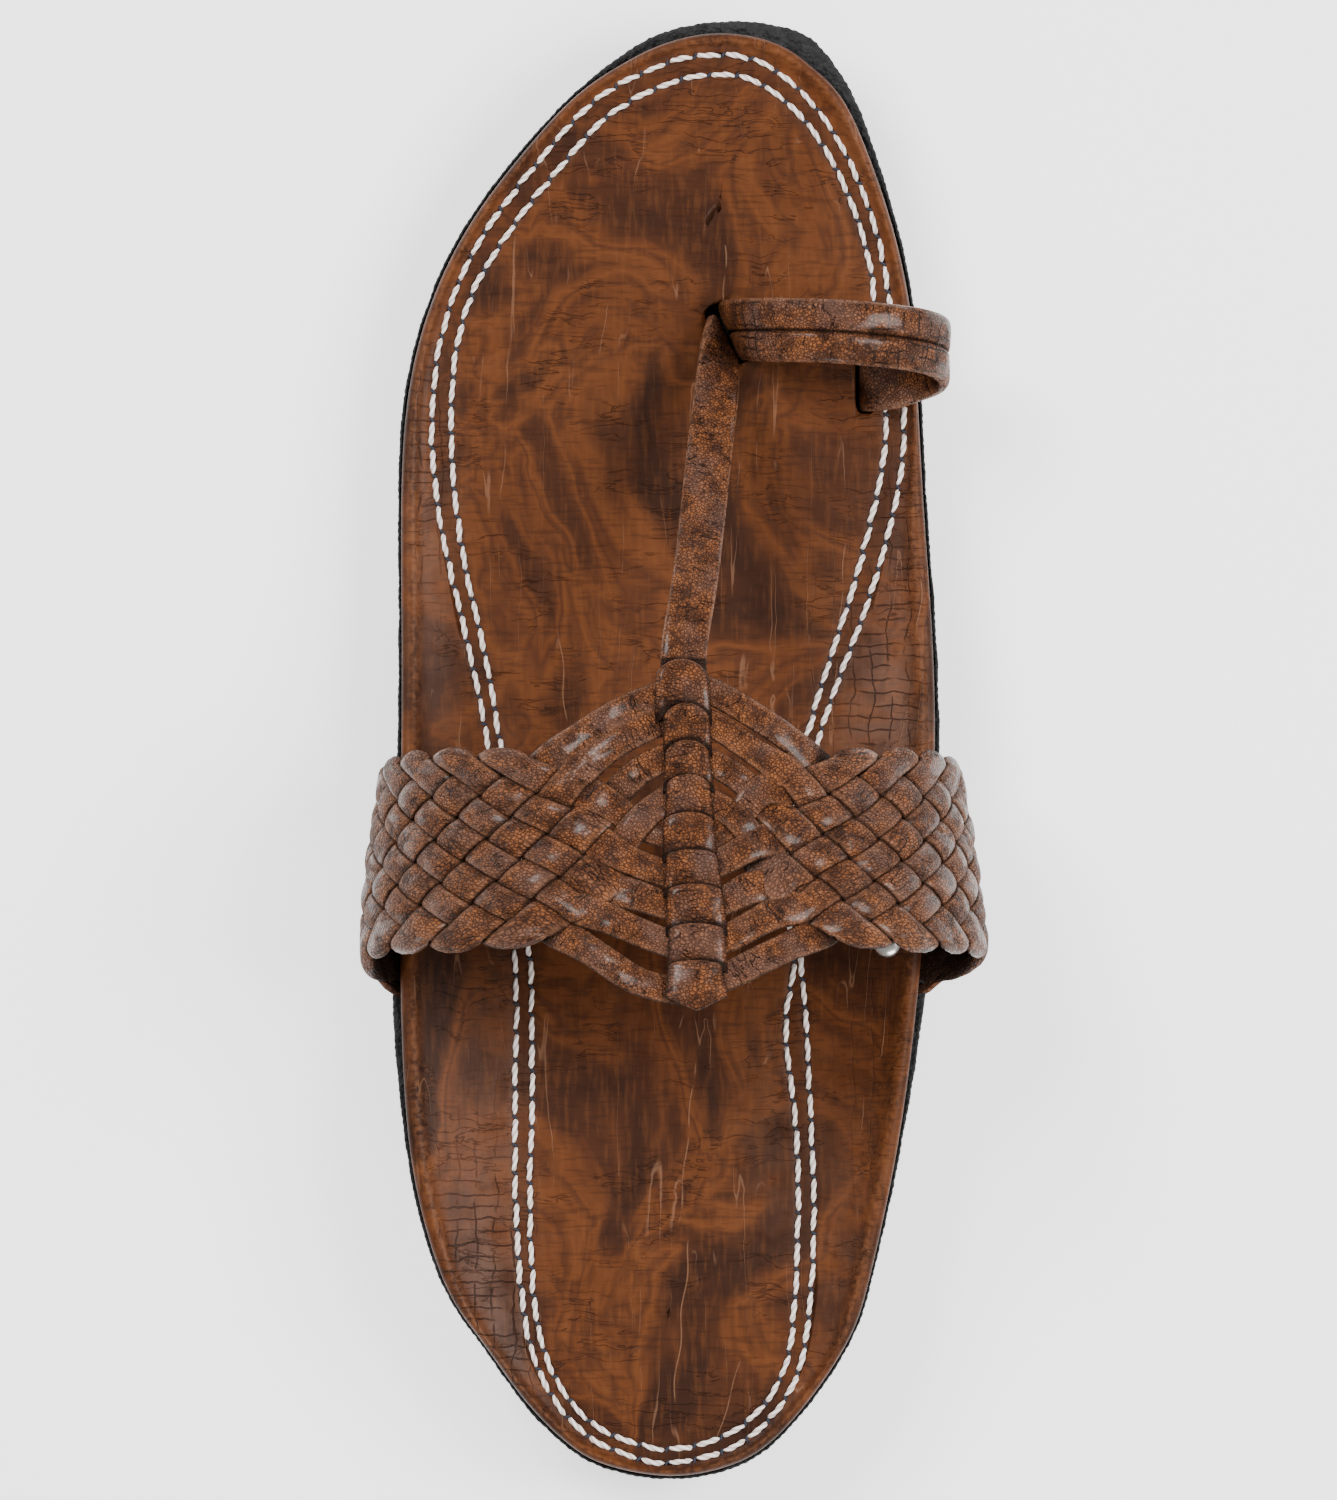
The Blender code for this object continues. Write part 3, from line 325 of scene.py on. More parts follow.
class Field:
    """A number or colour that varies over a surface. Sums, products and powers of fields make Math nodes."""

    def __init__(self, finish, socket):
        self.finish, self.socket = finish, socket

    def math(self, operation, *others, clamp=False):
        node = self.finish.tree.nodes.new("ShaderNodeMath")
        node.operation, node.use_clamp = operation, clamp
        for socket, value in zip(node.inputs, (self, *others)):
            self.finish.feed(socket, value)
        return Field(self.finish, node.outputs[0])

    def _swapped(self, operation, other):
        node = self.finish.tree.nodes.new("ShaderNodeMath")
        node.operation = operation
        self.finish.feed(node.inputs[0], other)
        self.finish.feed(node.inputs[1], self)
        return Field(self.finish, node.outputs[0])

    def __add__(self, other): return self.math("ADD", other)
    def __sub__(self, other): return self.math("SUBTRACT", other)
    def __mul__(self, other): return self.math("MULTIPLY", other)
    def __truediv__(self, other): return self.math("DIVIDE", other)
    def __pow__(self, other): return self.math("POWER", other)
    def __radd__(self, other): return self.math("ADD", other)
    def __rmul__(self, other): return self.math("MULTIPLY", other)
    def __rsub__(self, other): return self._swapped("SUBTRACT", other)
    def __rtruediv__(self, other): return self._swapped("DIVIDE", other)

    def step(self, low, high):
        """Smooth step from 0 at low to 1 at high, either way round."""
        node = self.finish.node("ShaderNodeMapRange", {"Value": self, "From Min": low, "From Max": high},
                                interpolation_type="SMOOTHSTEP", clamp=True)
        return Field(self.finish, node.outputs["Result"])


class Finish:
    """One procedural material: its node tree and short ways to make the nodes in it."""

    def __init__(self, name):
        self.material = bpy.data.materials.new(name)
        self.material.use_nodes = True
        self.tree = self.material.node_tree
        self.surface = self.tree.nodes["Principled BSDF"]

    def feed(self, socket, value):
        if isinstance(value, Field):
            self.tree.links.new(value.socket, socket)
        elif isinstance(value, tuple) and len(value) == 3 and socket.type == "RGBA":
            socket.default_value = (*value, 1.0)
        else:
            socket.default_value = value

    def node(self, kind, inputs, **settings):
        made = self.tree.nodes.new(kind)
        for key, value in settings.items():
            setattr(made, key, value)
        for key, value in inputs.items():
            self.feed(made.inputs[key], value)
        return made

    def place(self):
        """Place on the object in metres."""
        return Field(self, self.node("ShaderNodeTexCoord", {}).outputs["Object"])

    def value(self, name):
        """A point value of the mesh."""
        return Field(self, self.node("ShaderNodeAttribute", {}, attribute_name=name).outputs["Fac"])

    def vector(self, name):
        return Field(self, self.node("ShaderNodeAttribute", {}, attribute_name=name).outputs["Vector"])

    def split(self, vector):
        made = self.node("ShaderNodeSeparateXYZ", {"Vector": vector})
        return [Field(self, socket) for socket in made.outputs]

    def joined(self, x, y, z=0.0):
        return Field(self, self.node("ShaderNodeCombineXYZ", {"X": x, "Y": y, "Z": z}).outputs[0])

    def scaled(self, vector, scale):
        made = self.node("ShaderNodeMapping", {"Vector": vector, "Scale": scale})
        return Field(self, made.outputs[0])

    def warped(self, vector, scale, amount, detail=2.0):
        """A place moved by noise: the place plus the noise's colour less a half, times the amount in metres."""
        made = self.node("ShaderNodeTexNoise", {"Vector": vector, "Scale": scale, "Detail": detail})
        centred = self.node("ShaderNodeVectorMath", {0: Field(self, made.outputs["Color"]), 1: (0.5, 0.5, 0.5)},
                            operation="SUBTRACT")
        moved = self.node("ShaderNodeVectorMath", {0: Field(self, centred.outputs[0]), 1: (amount,) * 3, 2: vector},
                          operation="MULTIPLY_ADD")
        return Field(self, moved.outputs[0])

    def noise(self, vector, scale, detail=3.0, roughness=0.5, distortion=0.0):
        made = self.node("ShaderNodeTexNoise", {"Vector": vector, "Scale": scale, "Detail": detail,
                                                "Roughness": roughness, "Distortion": distortion})
        return Field(self, made.outputs["Fac"])

    def cells(self, vector, scale, feature="DISTANCE_TO_EDGE", randomness=1.0, output="Distance"):
        made = self.node("ShaderNodeTexVoronoi", {"Vector": vector, "Scale": scale, "Randomness": randomness},
                         feature=feature)
        return Field(self, made.outputs[output])

    def joints(self, vector, wide, high, thin):
        """1 in the joints of a cracked skin: lines at even steps across and along a warped place, broken by noise."""
        across, along, _ = self.split(self.warped(self.warped(vector, 0.30 / high, high * 1.4), 1.3 / high, high * 0.28))
        total = 0.0
        for axis, gap, stretch in ((along, high, (0.5, 1.0, 1.0)), (across, wide, (1.0, 0.8, 1.0))):
            line = ((axis * (1 / gap)).math("FRACT") - 0.5).math("ABSOLUTE").step(thin / gap, thin * 0.15 / gap)
            line = line * self.noise(self.scaled(vector, stretch), 0.55 / high, 2.0).step(0.40, 0.52)
            total = line.math("MAXIMUM", total)
        return total

    def mix(self, share, first, second, kind="MIX"):
        made = self.node("ShaderNodeMix", {}, data_type="RGBA", blend_type=kind)
        self.feed(made.inputs[0], share)
        self.feed(made.inputs[6], first)
        self.feed(made.inputs[7], second)
        return Field(self, made.outputs[2])

    def ramp(self, share, stops):
        """Colours between stops of (place, colour), read at the share."""
        made = self.node("ShaderNodeValToRGB", {"Fac": share})
        bar = made.color_ramp
        while len(bar.elements) < len(stops):
            bar.elements.new(0.5)
        for element, (place, colour) in zip(bar.elements, stops):
            element.position, element.color = place, (*colour, 1.0)
        return Field(self, made.outputs["Color"])

    def bump(self, height, distance, strength=1.0, under=None):
        made = self.node("ShaderNodeBump", {"Height": height, "Distance": distance, "Strength": strength})
        if under is not None:
            self.feed(made.inputs["Normal"], under)
        return Field(self, made.outputs["Normal"])

    def done(self, **inputs):
        for key, value in inputs.items():
            self.feed(self.surface.inputs[key.replace("_", " ")], value)
        return self.material


def charted_line(finish, x, y, row):
    """Share of a fine mark: the distance from a wavy line between two places, fading at its ends."""
    x0, y0, x1, y1, wave, width = row
    lean = (y - y0) / (y1 - y0)
    line = x0 + lean * (x1 - x0) + (y * (2 * math.pi / 0.013)).math("SINE") * wave
    near = (x - line).math("ABSOLUTE").step(width * 0.75, width * 0.15)
    near = near * finish.noise(finish.scaled(finish.joined(x, y), (1.0, 0.4, 1.0)), 330, 2.0).step(0.36, 0.50)
    return near * lean.step(-0.02, 0.06) * lean.step(1.02, 0.94)


# Pale scratches on the footbed: from and to in metres in the frame, wave and half width
SCRATCHES = (
    (0.0098, 0.0970, 0.0098, 0.0855, 0.0003, 0.00032),
    (0.0012, -0.0535, 0.0030, -0.0420, 0.0003, 0.00030),
    (0.0010, -0.0910, 0.0040, -0.0600, 0.0002, 0.00030),
    (0.0000, -0.1250, 0.0030, -0.0940, 0.0003, 0.00030),
    (0.0465, 0.0180, 0.0475, 0.0330, 0.0004, 0.00030),
    (0.0300, 0.0010, 0.0330, 0.0400, 0.0002, 0.00028),
    (-0.0195, -0.0080, -0.0220, 0.0230, 0.0003, 0.00028),
    (0.0080, -0.1330, 0.0140, -0.1130, 0.0002, 0.00026),
)


def burl_leather():
    """Footbed leather: burled browns, brushed grain, pale upright scratches, dark cross creases, cracked wings, greyish
    patches of painted sheen on the wings, a painted highlight along the rolled rim's crest, and painted shade in the
    stitch grooves and on the rim's side.
    """
    f = Finish("burl_leather")
    place = f.place()
    x, y, _ = f.split(place)
    swirl = f.warped(f.scaled(place, (1.0, 0.80, 1.0)), 17, 0.034, 3.0)
    figure = f.noise(swirl, 34, 4.0, 0.50, 0.8)
    colour = f.ramp(figure, (
        (0.33, (0.0200, 0.0058, 0.0024)), (0.41, (0.0370, 0.0106, 0.0038)), (0.47, (0.0800, 0.0230, 0.0064)),
        (0.50, (0.0470, 0.0136, 0.0045)), (0.54, (0.0900, 0.0265, 0.0074)), (0.60, (0.0400, 0.0116, 0.0040)),
        (0.68, (0.0190, 0.0056, 0.0024)),
    ))
    brushed = f.noise(f.scaled(place, (1.0, 0.14, 1.0)), 1000, 2.0)
    colour = f.mix(brushed.step(0.45, 0.72) * 0.24, colour, (0.120, 0.039, 0.0105))
    hatched = f.noise(f.scaled(place, (0.14, 1.0, 1.0)), 1300, 2.0)
    colour = f.mix(hatched.step(0.50, 0.32) * 0.34, colour, (0.0120, 0.0034, 0.0012))
    creases = (f.noise(f.scaled(f.warped(place, 120, 0.004), (0.13, 1.0, 1.0)), 330, 3.0, 0.6) - 0.5).math("ABSOLUTE")
    creases = creases.step(0.016, 0.0) * f.noise(place, 75, 2.0).step(0.47, 0.60)
    colour = f.mix(creases * 0.55, colour, (0.0090, 0.0028, 0.0016))
    scratch = (f.noise(f.scaled(f.warped(place, 150, 0.0012), (1.0, 0.05, 1.0)), 230, 1.0) - 0.5).math("ABSOLUTE")
    scratch = scratch.step(0.010, 0.001) * f.noise(f.scaled(place, (1.0, 0.40, 1.0)), 190, 2.0).step(0.48, 0.62) * 0.7
    for row in SCRATCHES:
        scratch = scratch.math("MAXIMUM", charted_line(f, x, y, row))
    colour = f.mix(scratch * 0.46, colour, (0.240, 0.118, 0.066))
    # Painted sheen: greyish lighter patches on the wings that stand in for glancing reflections.
    veil = f.value("veil") * f.noise(place, 200, 3.0).step(0.25, 0.60)
    colour = f.mix(veil * 0.36, colour, (0.105, 0.052, 0.034))
    crackle = f.joints(place, 0.0036, 0.0024, 0.00020) * f.value("crackle")
    colour = f.mix(crackle * 0.85, colour, (0.0085, 0.0028, 0.0017))
    # Painted highlight: the edge value lightens the crest of the rolled rim.
    edge = f.value("edge")
    colour = f.mix(edge * f.noise(place, 900, 3.0).step(0.35, 0.70) * 0.45, colour, (0.165, 0.060, 0.022))
    # Painted shade: the dip value darkens the sunk stitch grooves and the rim's side under the bead.
    dip = f.value("dip")
    colour = f.mix(dip * 0.45, colour, (0.0150, 0.0048, 0.0024))
    rough = 0.42 + figure * 0.14 + hatched * 0.10 - veil * 0.08
    fine = f.bump(brushed * 0.6 + hatched * 0.5 + f.noise(place, 900, 3.0) * 0.4, 0.00018, 0.5)
    normal = f.bump(crackle * -1.0 + creases * -0.7 + scratch * 0.7, 0.00024, 0.8, fine)
    normal = f.bump(f.noise(place, 90, 3.0), 0.0020, 0.30, normal)
    return f.done(Base_Color=colour, Roughness=rough, Normal=normal, Coat_Weight=0.03, Coat_Roughness=0.30,
                  Specular_IOR_Level=0.14, Specular_Tint=(1.0, 0.78, 0.66, 1.0))


def pebbled_leather(name, tone=1.0, cracked=()):
    """Strap leather: orange-brown pebbles in a dark network, greyish patches of painted sheen, pale cut edges (on the
    spine's folds the same value paints a highlight), cross cracks, near-black painted shade, and between each pair of
    lengths given as cracked a grid of fine joints."""
    f = Finish(name)
    strip = f.vector("strip")
    network = f.cells(f.warped(strip, 900, 0.0005, 2.0), 1600)
    shade = f.noise(strip, 300, 3.0, 0.6)
    sheen_patch = f.noise(strip, 110, 3.0)
    colour = f.mix(shade.step(0.34, 0.66), (0.0560 * tone, 0.0185 * tone, 0.0075 * tone),
                   (0.2050 * tone, 0.0690 * tone, 0.0230 * tone))
    # Painted sheen: greyish pale patches that stand in for glancing reflections.
    colour = f.mix(sheen_patch.step(0.45, 0.66) * 0.62, colour, (0.106, 0.055, 0.040))
    crack = network.step(0.20, 0.03)
    colour = f.mix(crack * (1.0 - sheen_patch.step(0.52, 0.72) * 0.30) * 0.82, colour, (0.0090, 0.0030, 0.0018))
    bars = (f.noise(f.scaled(f.warped(strip, 260, 0.002), (1.0, 0.22, 1.0)), 480, 2.0) - 0.5).math("ABSOLUTE")
    bars = bars.step(0.026, 0.0) * f.noise(strip, 160, 2.0).step(0.45, 0.55)
    colour = f.mix(bars * 0.85, colour, (0.0070, 0.0024, 0.0015))
    if cracked:
        length = f.split(strip)[0]
        grid = sum(length.step(start, start + 0.003) * length.step(end, end - 0.003) for start, end in cracked)
        grid = grid * f.joints(strip, 0.0029, 0.0022, 0.00026)
        colour = f.mix(grid * 0.95, colour, (0.0070, 0.0024, 0.0014))
        bars = bars.math("MAXIMUM", grid)
    # Pale cut edges along the strips; on the spine's folds the same edge value paints a highlight along each front
    # arch.
    worn_edge_and_highlight = f.value("edge") * f.noise(strip, 700, 3.0).step(0.30, 0.62)
    colour = f.mix(worn_edge_and_highlight * 0.40, colour, (0.290, 0.135, 0.075))
    # Painted shade: near-black where strips dive under their neighbours, along their sides, in the loop's groove, under
    # and behind the spine's folds and at the strap's start under the first fold.
    deep = f.value("deep")
    colour = f.mix(deep, colour, (0.0040, 0.0014, 0.0009))
    glaze = f.noise(f.scaled(strip, (0.55, 1.0, 1.0)), 260, 3.0).step(0.48, 0.60)
    rough = 0.46 - glaze * 0.21 + crack * 0.16 + deep * 0.30
    normal = f.bump(network.step(0.0, 0.30) + shade * 0.5, 0.00022, 0.75)
    normal = f.bump(bars * -1.0, 0.00030, 0.8, normal)
    normal = f.bump(f.noise(strip, 330, 2.0), 0.0008, 0.25, normal)
    return f.done(Base_Color=colour, Roughness=rough, Normal=normal, Coat_Weight=(1.0 - deep) * (0.01 + glaze * 0.22),
                  Coat_Roughness=0.20, Specular_IOR_Level=0.14, Specular_Tint=(1.0, 0.78, 0.66, 1.0))


def rubber():
    """Sole rubber: near-black grey with pale crumbs and a coarse granular surface."""
    f = Finish("granular_rubber")
    place = f.place()
    crumbs = f.cells(place, 1300, feature="F1")
    mottle = f.noise(place, 420, 4.0, 0.65)
    colour = f.mix(mottle.step(0.35, 0.70), (0.006, 0.006, 0.0064), (0.022, 0.0217, 0.022))
    colour = f.mix(crumbs.step(0.22, 0.05) * 0.5, colour, (0.070, 0.068, 0.068))
    rough = 0.62 + mottle * 0.3
    normal = f.bump(crumbs + mottle, 0.0006, 0.8)
    return f.done(Base_Color=colour, Roughness=rough, Normal=normal, Specular_IOR_Level=0.25)


def thread(name, light, dark):
    """Twisted thread: the mesh's ply value paints shade (the dark colour) into the grooves between the two plies and
    leaves their crests in the light colour, with fine fibres along them.
    """
    f = Finish(name)
    fibres = f.noise(f.scaled(f.place(), (1.0, 0.25, 1.0)), 5200, 3.0)
    ply = f.value("ply")
    # Painted shade in the grooves between the plies, from the ply value.
    colour = f.mix(ply.step(0.10, 0.65), dark, light)
    colour = f.mix(fibres.step(0.35, 0.65) * 0.25, colour, dark)
    normal = f.bump(fibres, 0.00008, 0.6)
    return f.done(Base_Color=colour, Roughness=0.72 + fibres * 0.2, Normal=normal)


def rivet_metal():
    """Polished pale metal with faint scuffs."""
    f = Finish("rivet_metal")
    scuff = f.noise(f.place(), 1400, 4.0, 0.7)
    colour = f.mix(scuff.step(0.4, 0.7), (0.80, 0.77, 0.72), (0.66, 0.62, 0.57))
    return f.done(Base_Color=colour, Roughness=0.16 + scuff * 0.22, Metallic=1.0,
                  Normal=f.bump(scuff, 0.00006, 0.5))


# Sole and footbed

OUTLINE_POINTS = 600


def closed_rings(rings, shape, **values):
    """Body of rings that share one numbering: quads from ring to ring, steps across at the first and last."""
    count = len(rings[0])
    faces = ladder(0, count) + grid_faces(len(rings), count, wrap_columns=True).tolist()
    faces += ladder((len(rings) - 1) * count, count)
    shape.add(np.vstack(rings), faces, **values)


def ring_at(flat, heights):
    return np.column_stack([flat, heights])


BEAD = (  # mm in from the rim, mm up: the rolled edge
    (5.2, 0.00), (4.3, 0.06), (3.6, 0.22), (3.0, 0.42), (2.5, 0.52), (2.0, 0.46), (1.5, 0.24), (1.0, -0.12),
    (0.6, -0.52), (0.28, -1.00), (0.07, -1.55), (0.0, -2.05),
)

# Painted sheen on the footbed, greyish lighter patches where light glances off the wings: centre x and y in the frame,
# reach along x and y in metres, strength
PAINTED_SHEEN_PATCHES = (
    (-0.033, -0.110, 0.0060, 0.0300, 0.90), (-0.037, -0.088, 0.0070, 0.0240, 0.55), (0.038, 0.008, 0.0110, 0.0270, 0.95),
    (0.047, -0.010, 0.0070, 0.0200, 0.60), (-0.046, 0.045, 0.0050, 0.0350, 0.75), (-0.032, -0.015, 0.0060, 0.0180, 0.50),
    (0.018, -0.075, 0.0070, 0.0220, 0.50), (0.032, -0.085, 0.0090, 0.0300, 0.40), (-0.031, -0.060, 0.0040, 0.0300, 0.55),
    (0.042, 0.070, 0.0045, 0.0250, 0.45), (0.035, 0.110, 0.0050, 0.0150, 0.40),
)
CRACKLES = (
    (-0.037, -0.100, 0.0090, 0.0260, 1.0), (0.040, 0.012, 0.0110, 0.0290, 1.0), (-0.047, 0.055, 0.0050, 0.0260, 0.8),
    (-0.034, -0.112, 0.0080, 0.0200, 0.9), (0.040, -0.060, 0.0090, 0.0300, 0.35), (0.045, 0.050, 0.0050, 0.0200, 0.5),
)


def patches(rows, x, y):
    """Sum of round hills, each the exponential of minus the squared distance over its reach, held at 1."""
    total = 0.0
    for centre_x, centre_y, reach_x, reach_y, strength in rows:
        total = total + strength * np.exp(-((x - centre_x) / reach_x) ** 2 - ((y - centre_y) / reach_y) ** 2)
    return np.clip(total, 0, 1)


def make_footbed(leather):
    """Wrapped bed: rings from the middle line over the stitches and the wing to the rolled rim, and back below."""
    rim, seam = outline(RIM_OUTLINE, OUTLINE_POINTS), outline(SEAM_OUTLINE, OUTLINE_POINTS)
    inner = inner_row(seam)
    centre = middle_line(inner)
    span = np.linalg.norm(rim - seam, axis=1)
    rise = WING_SLOPE * span
    rings, edges, painted_groove_shades = [], [], []

    def put(flat, up, edge=0.0, dip=0.0):
        rings.append(ring_at(flat, up))
        edges.append(np.full(len(flat), edge))
        painted_groove_shades.append(np.full(len(flat), dip))

    for share in (0.0, 0.08, 0.17, 0.26, 0.35, 0.44, 0.53, 0.62, 0.70, 0.78, 0.85, 0.91):
        flat = centre + (inner - centre) * share
        put(flat, sole_top(flat[:, 1]) + BED)
    for line, way in ((inner, 1), (seam, -1)):
        for distance in ((1.6, 0.9, 0.45, 0.0, -0.45) if way > 0 else (0.45, 0.0, -0.45, -0.9)):
            flat = inset(line, distance / 1000)
            sunk = 0.00028 * math.exp(-(distance / 0.55) ** 2)
            across = np.clip(-distance / 1000 / span, 0, 1) if way < 0 else 0.0
            # dip paints shade into the sunk grooves of the two stitch rows.
            put(flat, sole_top(flat[:, 1]) + BED + rise * wing_share(across) - sunk,
                dip=math.exp(-(distance / 0.8) ** 2))
    scale = np.minimum(1.0, span / 0.0068)
    for share in (0.13, 0.24, 0.36, 0.48, 0.60, 0.72, 0.84, 0.94):
        across = share * (1 - scale * 0.0052 / span)
        flat = seam + (rim - seam) * across[:, None]
        put(flat, sole_top(flat[:, 1]) + BED + rise * wing_share(across))
    for distance, up in BEAD:
        across = 1 - scale * distance / 1000 / span
        flat = seam + (rim - seam) * across[:, None]
        top = sole_top(flat[:, 1]) + BED + rise * wing_share(across)
        # edge paints a highlight along the crest of the rolled rim.
        put(flat, top + up / 1000, edge=math.exp(-((distance - 2.4) / 1.1) ** 2))
    for inward, up in ((0.0, 2.2), (0.02, 1.7), (0.12, 1.42)):
        flat = inset(rim, inward / 1000)
        # dip paints shade on the rim's side wall under the rolled bead.
        put(flat, sole_top(rim[:, 1]) + rise + up / 1000, edge=0.0, dip=0.4)
    for across in (0.92, 0.50, 0.0):
        flat = seam + (rim - seam) * across
        put(flat, sole_top(flat[:, 1]) + rise * wing_share(across))
    put(centre, sole_top(centre[:, 1]))
    points = np.vstack(rings)
    below = len(rings) - 7
    swell = np.sin(points[:, 0] * 190 + 1.3) * np.sin(points[:, 1] * 95 + 0.4) * 0.00012
    points[:below * OUTLINE_POINTS, 2] += swell[:below * OUTLINE_POINTS]
    where = points + SHIFT
    shape = Shape()
    closed_rings(np.split(points, len(rings)), shape, edge=np.concatenate(edges), dip=np.concatenate(painted_groove_shades),
                 veil=patches(PAINTED_SHEEN_PATCHES, where[:, 0], where[:, 1]), crackle=patches(CRACKLES, where[:, 0], where[:, 1]))
    piece = shape.build("footbed_leather", leather, "footbed", replaces=("footbed",))
    for name, spot in (("slot_cutter", SLOT), ("slit_cutter", SLIT)):
        cut_box(piece, name, spot)
    return piece


def cut_box(piece, name, spot):
    """Cuts an upright box with rounded corners through a piece, its long side turned from X by the spot's angle."""
    along, side, turn, length, width = spot
    x, y = side * HALF_BALL, along * SOLE_LENGTH
    angle = np.linspace(0, 2 * np.pi, 32, endpoint=False)
    cos, sin = np.cos(angle), np.sin(angle)
    flat = np.column_stack([np.sign(cos) * np.abs(cos) ** 0.35 * length / 2,
                            np.sign(sin) * np.abs(sin) ** 0.6 * width / 2])
    turn = math.radians(turn)
    flat = flat @ np.array([[math.cos(turn), math.sin(turn)], [-math.sin(turn), math.cos(turn)]]) + (x, y)
    height = float(sole_top(y))
    rings = np.stack([ring_at(flat, np.full(32, height + up)) for up in (-0.010, 0.014)])
    shape = Shape()
    tube(rings, shape)
    mesh = bpy.data.meshes.new(name)
    mesh.from_pydata((np.vstack(shape.points) + SHIFT).tolist(), [], shape.faces)
    cutter = bpy.data.objects.new(name, mesh)
    bpy.context.scene.collection.objects.link(cutter)
    step = piece.modifiers.new(name, "BOOLEAN")
    step.operation, step.object, step.solver = "DIFFERENCE", cutter, "EXACT"
    with bpy.context.temp_override(object=piece, active_object=piece):
        bpy.ops.object.modifier_apply(modifier=name)
    bpy.data.objects.remove(cutter, do_unlink=True)


def make_outsole(material):
    """Rubber sole: rings over the top, round a ribbed lip and its step, and down to the lifted underside."""
    count = 1200
    sole, rim, seam = (outline(rows, count) for rows in (SOLE_OUTLINE, RIM_OUTLINE, SEAM_OUTLINE))
    centre = middle_line(seam)
    rise = WING_SLOPE * np.linalg.norm(rim - seam, axis=1)
    run = arc_steps(np.vstack([sole, sole[:1]]))[:-1]
    rng = np.random.default_rng(5)
    jitter = np.convolve(np.tile(rng.normal(size=count), 3), np.ones(5) / 5, "same")[count:2 * count]
    ribs = 0.00006 * np.sin(run * 2 * np.pi / 0.0016) + 0.00011 * jitter
    top = sole_top(rim[:, 1]) + rise
    foot = inset(sole, LIP_STEP * 2.6)
    under = sole_under(foot[:, 1])
    rings = []
    for share in (0.0, 0.5, 1.0):
        flat = centre + (seam - centre) * share
        rings.append(ring_at(flat, sole_top(flat[:, 1]) - GAP))
    for across in (0.25, 0.50, 0.75, 0.90):
        flat = seam + (rim - seam) * across
        rings.append(ring_at(flat, sole_top(flat[:, 1]) + rise * wing_share(across) - GAP - 0.0024))
    rings.append(ring_at(rim - (rim - seam) * 0.02, top - GAP - 0.0006))
    for out, up in ((0.55, -0.35), (0.80, -0.45), (0.95, -0.75), (1.0, -1.15)):
        rings.append(ring_at(inset(rim + (sole - rim) * out, -ribs * out), top + up / 1000))
    for inward, up in ((0.0, -1.9), (0.02, -2.6), (0.14, -3.0), (0.5, -3.25), (1.0, -3.5)):
        rings.append(ring_at(inset(sole, inward / 1000 - ribs * (1 - inward)), top + up / 1000))
    side_foot = sole_under(sole[:, 1])
    for share in (0.80, 0.55, 0.35, 0.18, 0.06):
        flat = inset(sole, LIP_STEP * (1.0 + 0.35 * (1 - share)))
        rings.append(ring_at(flat, side_foot + share * (top - 0.0035 - side_foot)))
    rings.append(ring_at(inset(sole, LIP_STEP * 1.7), side_foot + 0.0002))
    rings.append(ring_at(foot, under))
    for share in (0.75, 0.5, 0.25, 0.0):
        flat = centre + (foot - centre) * share
        rings.append(ring_at(flat, sole_under(flat[:, 1])))
    shape = Shape()
    closed_rings(rings, shape)
    return shape.build("outsole_rubber", material, "outsole", replaces=("outsole",), sharp=50)


# Stitches

STITCH_PITCH, STITCH_LENGTH, STITCH_WIDTH = 0.00540, 0.00470, 0.00098


def stitch_line(row):
    """Points at equal steps along a closed row: its length split into whole stitches, and the run at each."""
    closed = np.vstack([row, row[:1]])
    steps = arc_steps(closed)
    count = int(round(steps[-1] / STITCH_PITCH))
    at = (np.arange(count) + 0.5) * steps[-1] / count

    def point(shift):
        place = (at + shift) % steps[-1]
        return np.column_stack([np.interp(place, steps, closed[:, axis]) for axis in (0, 1)])

    return point


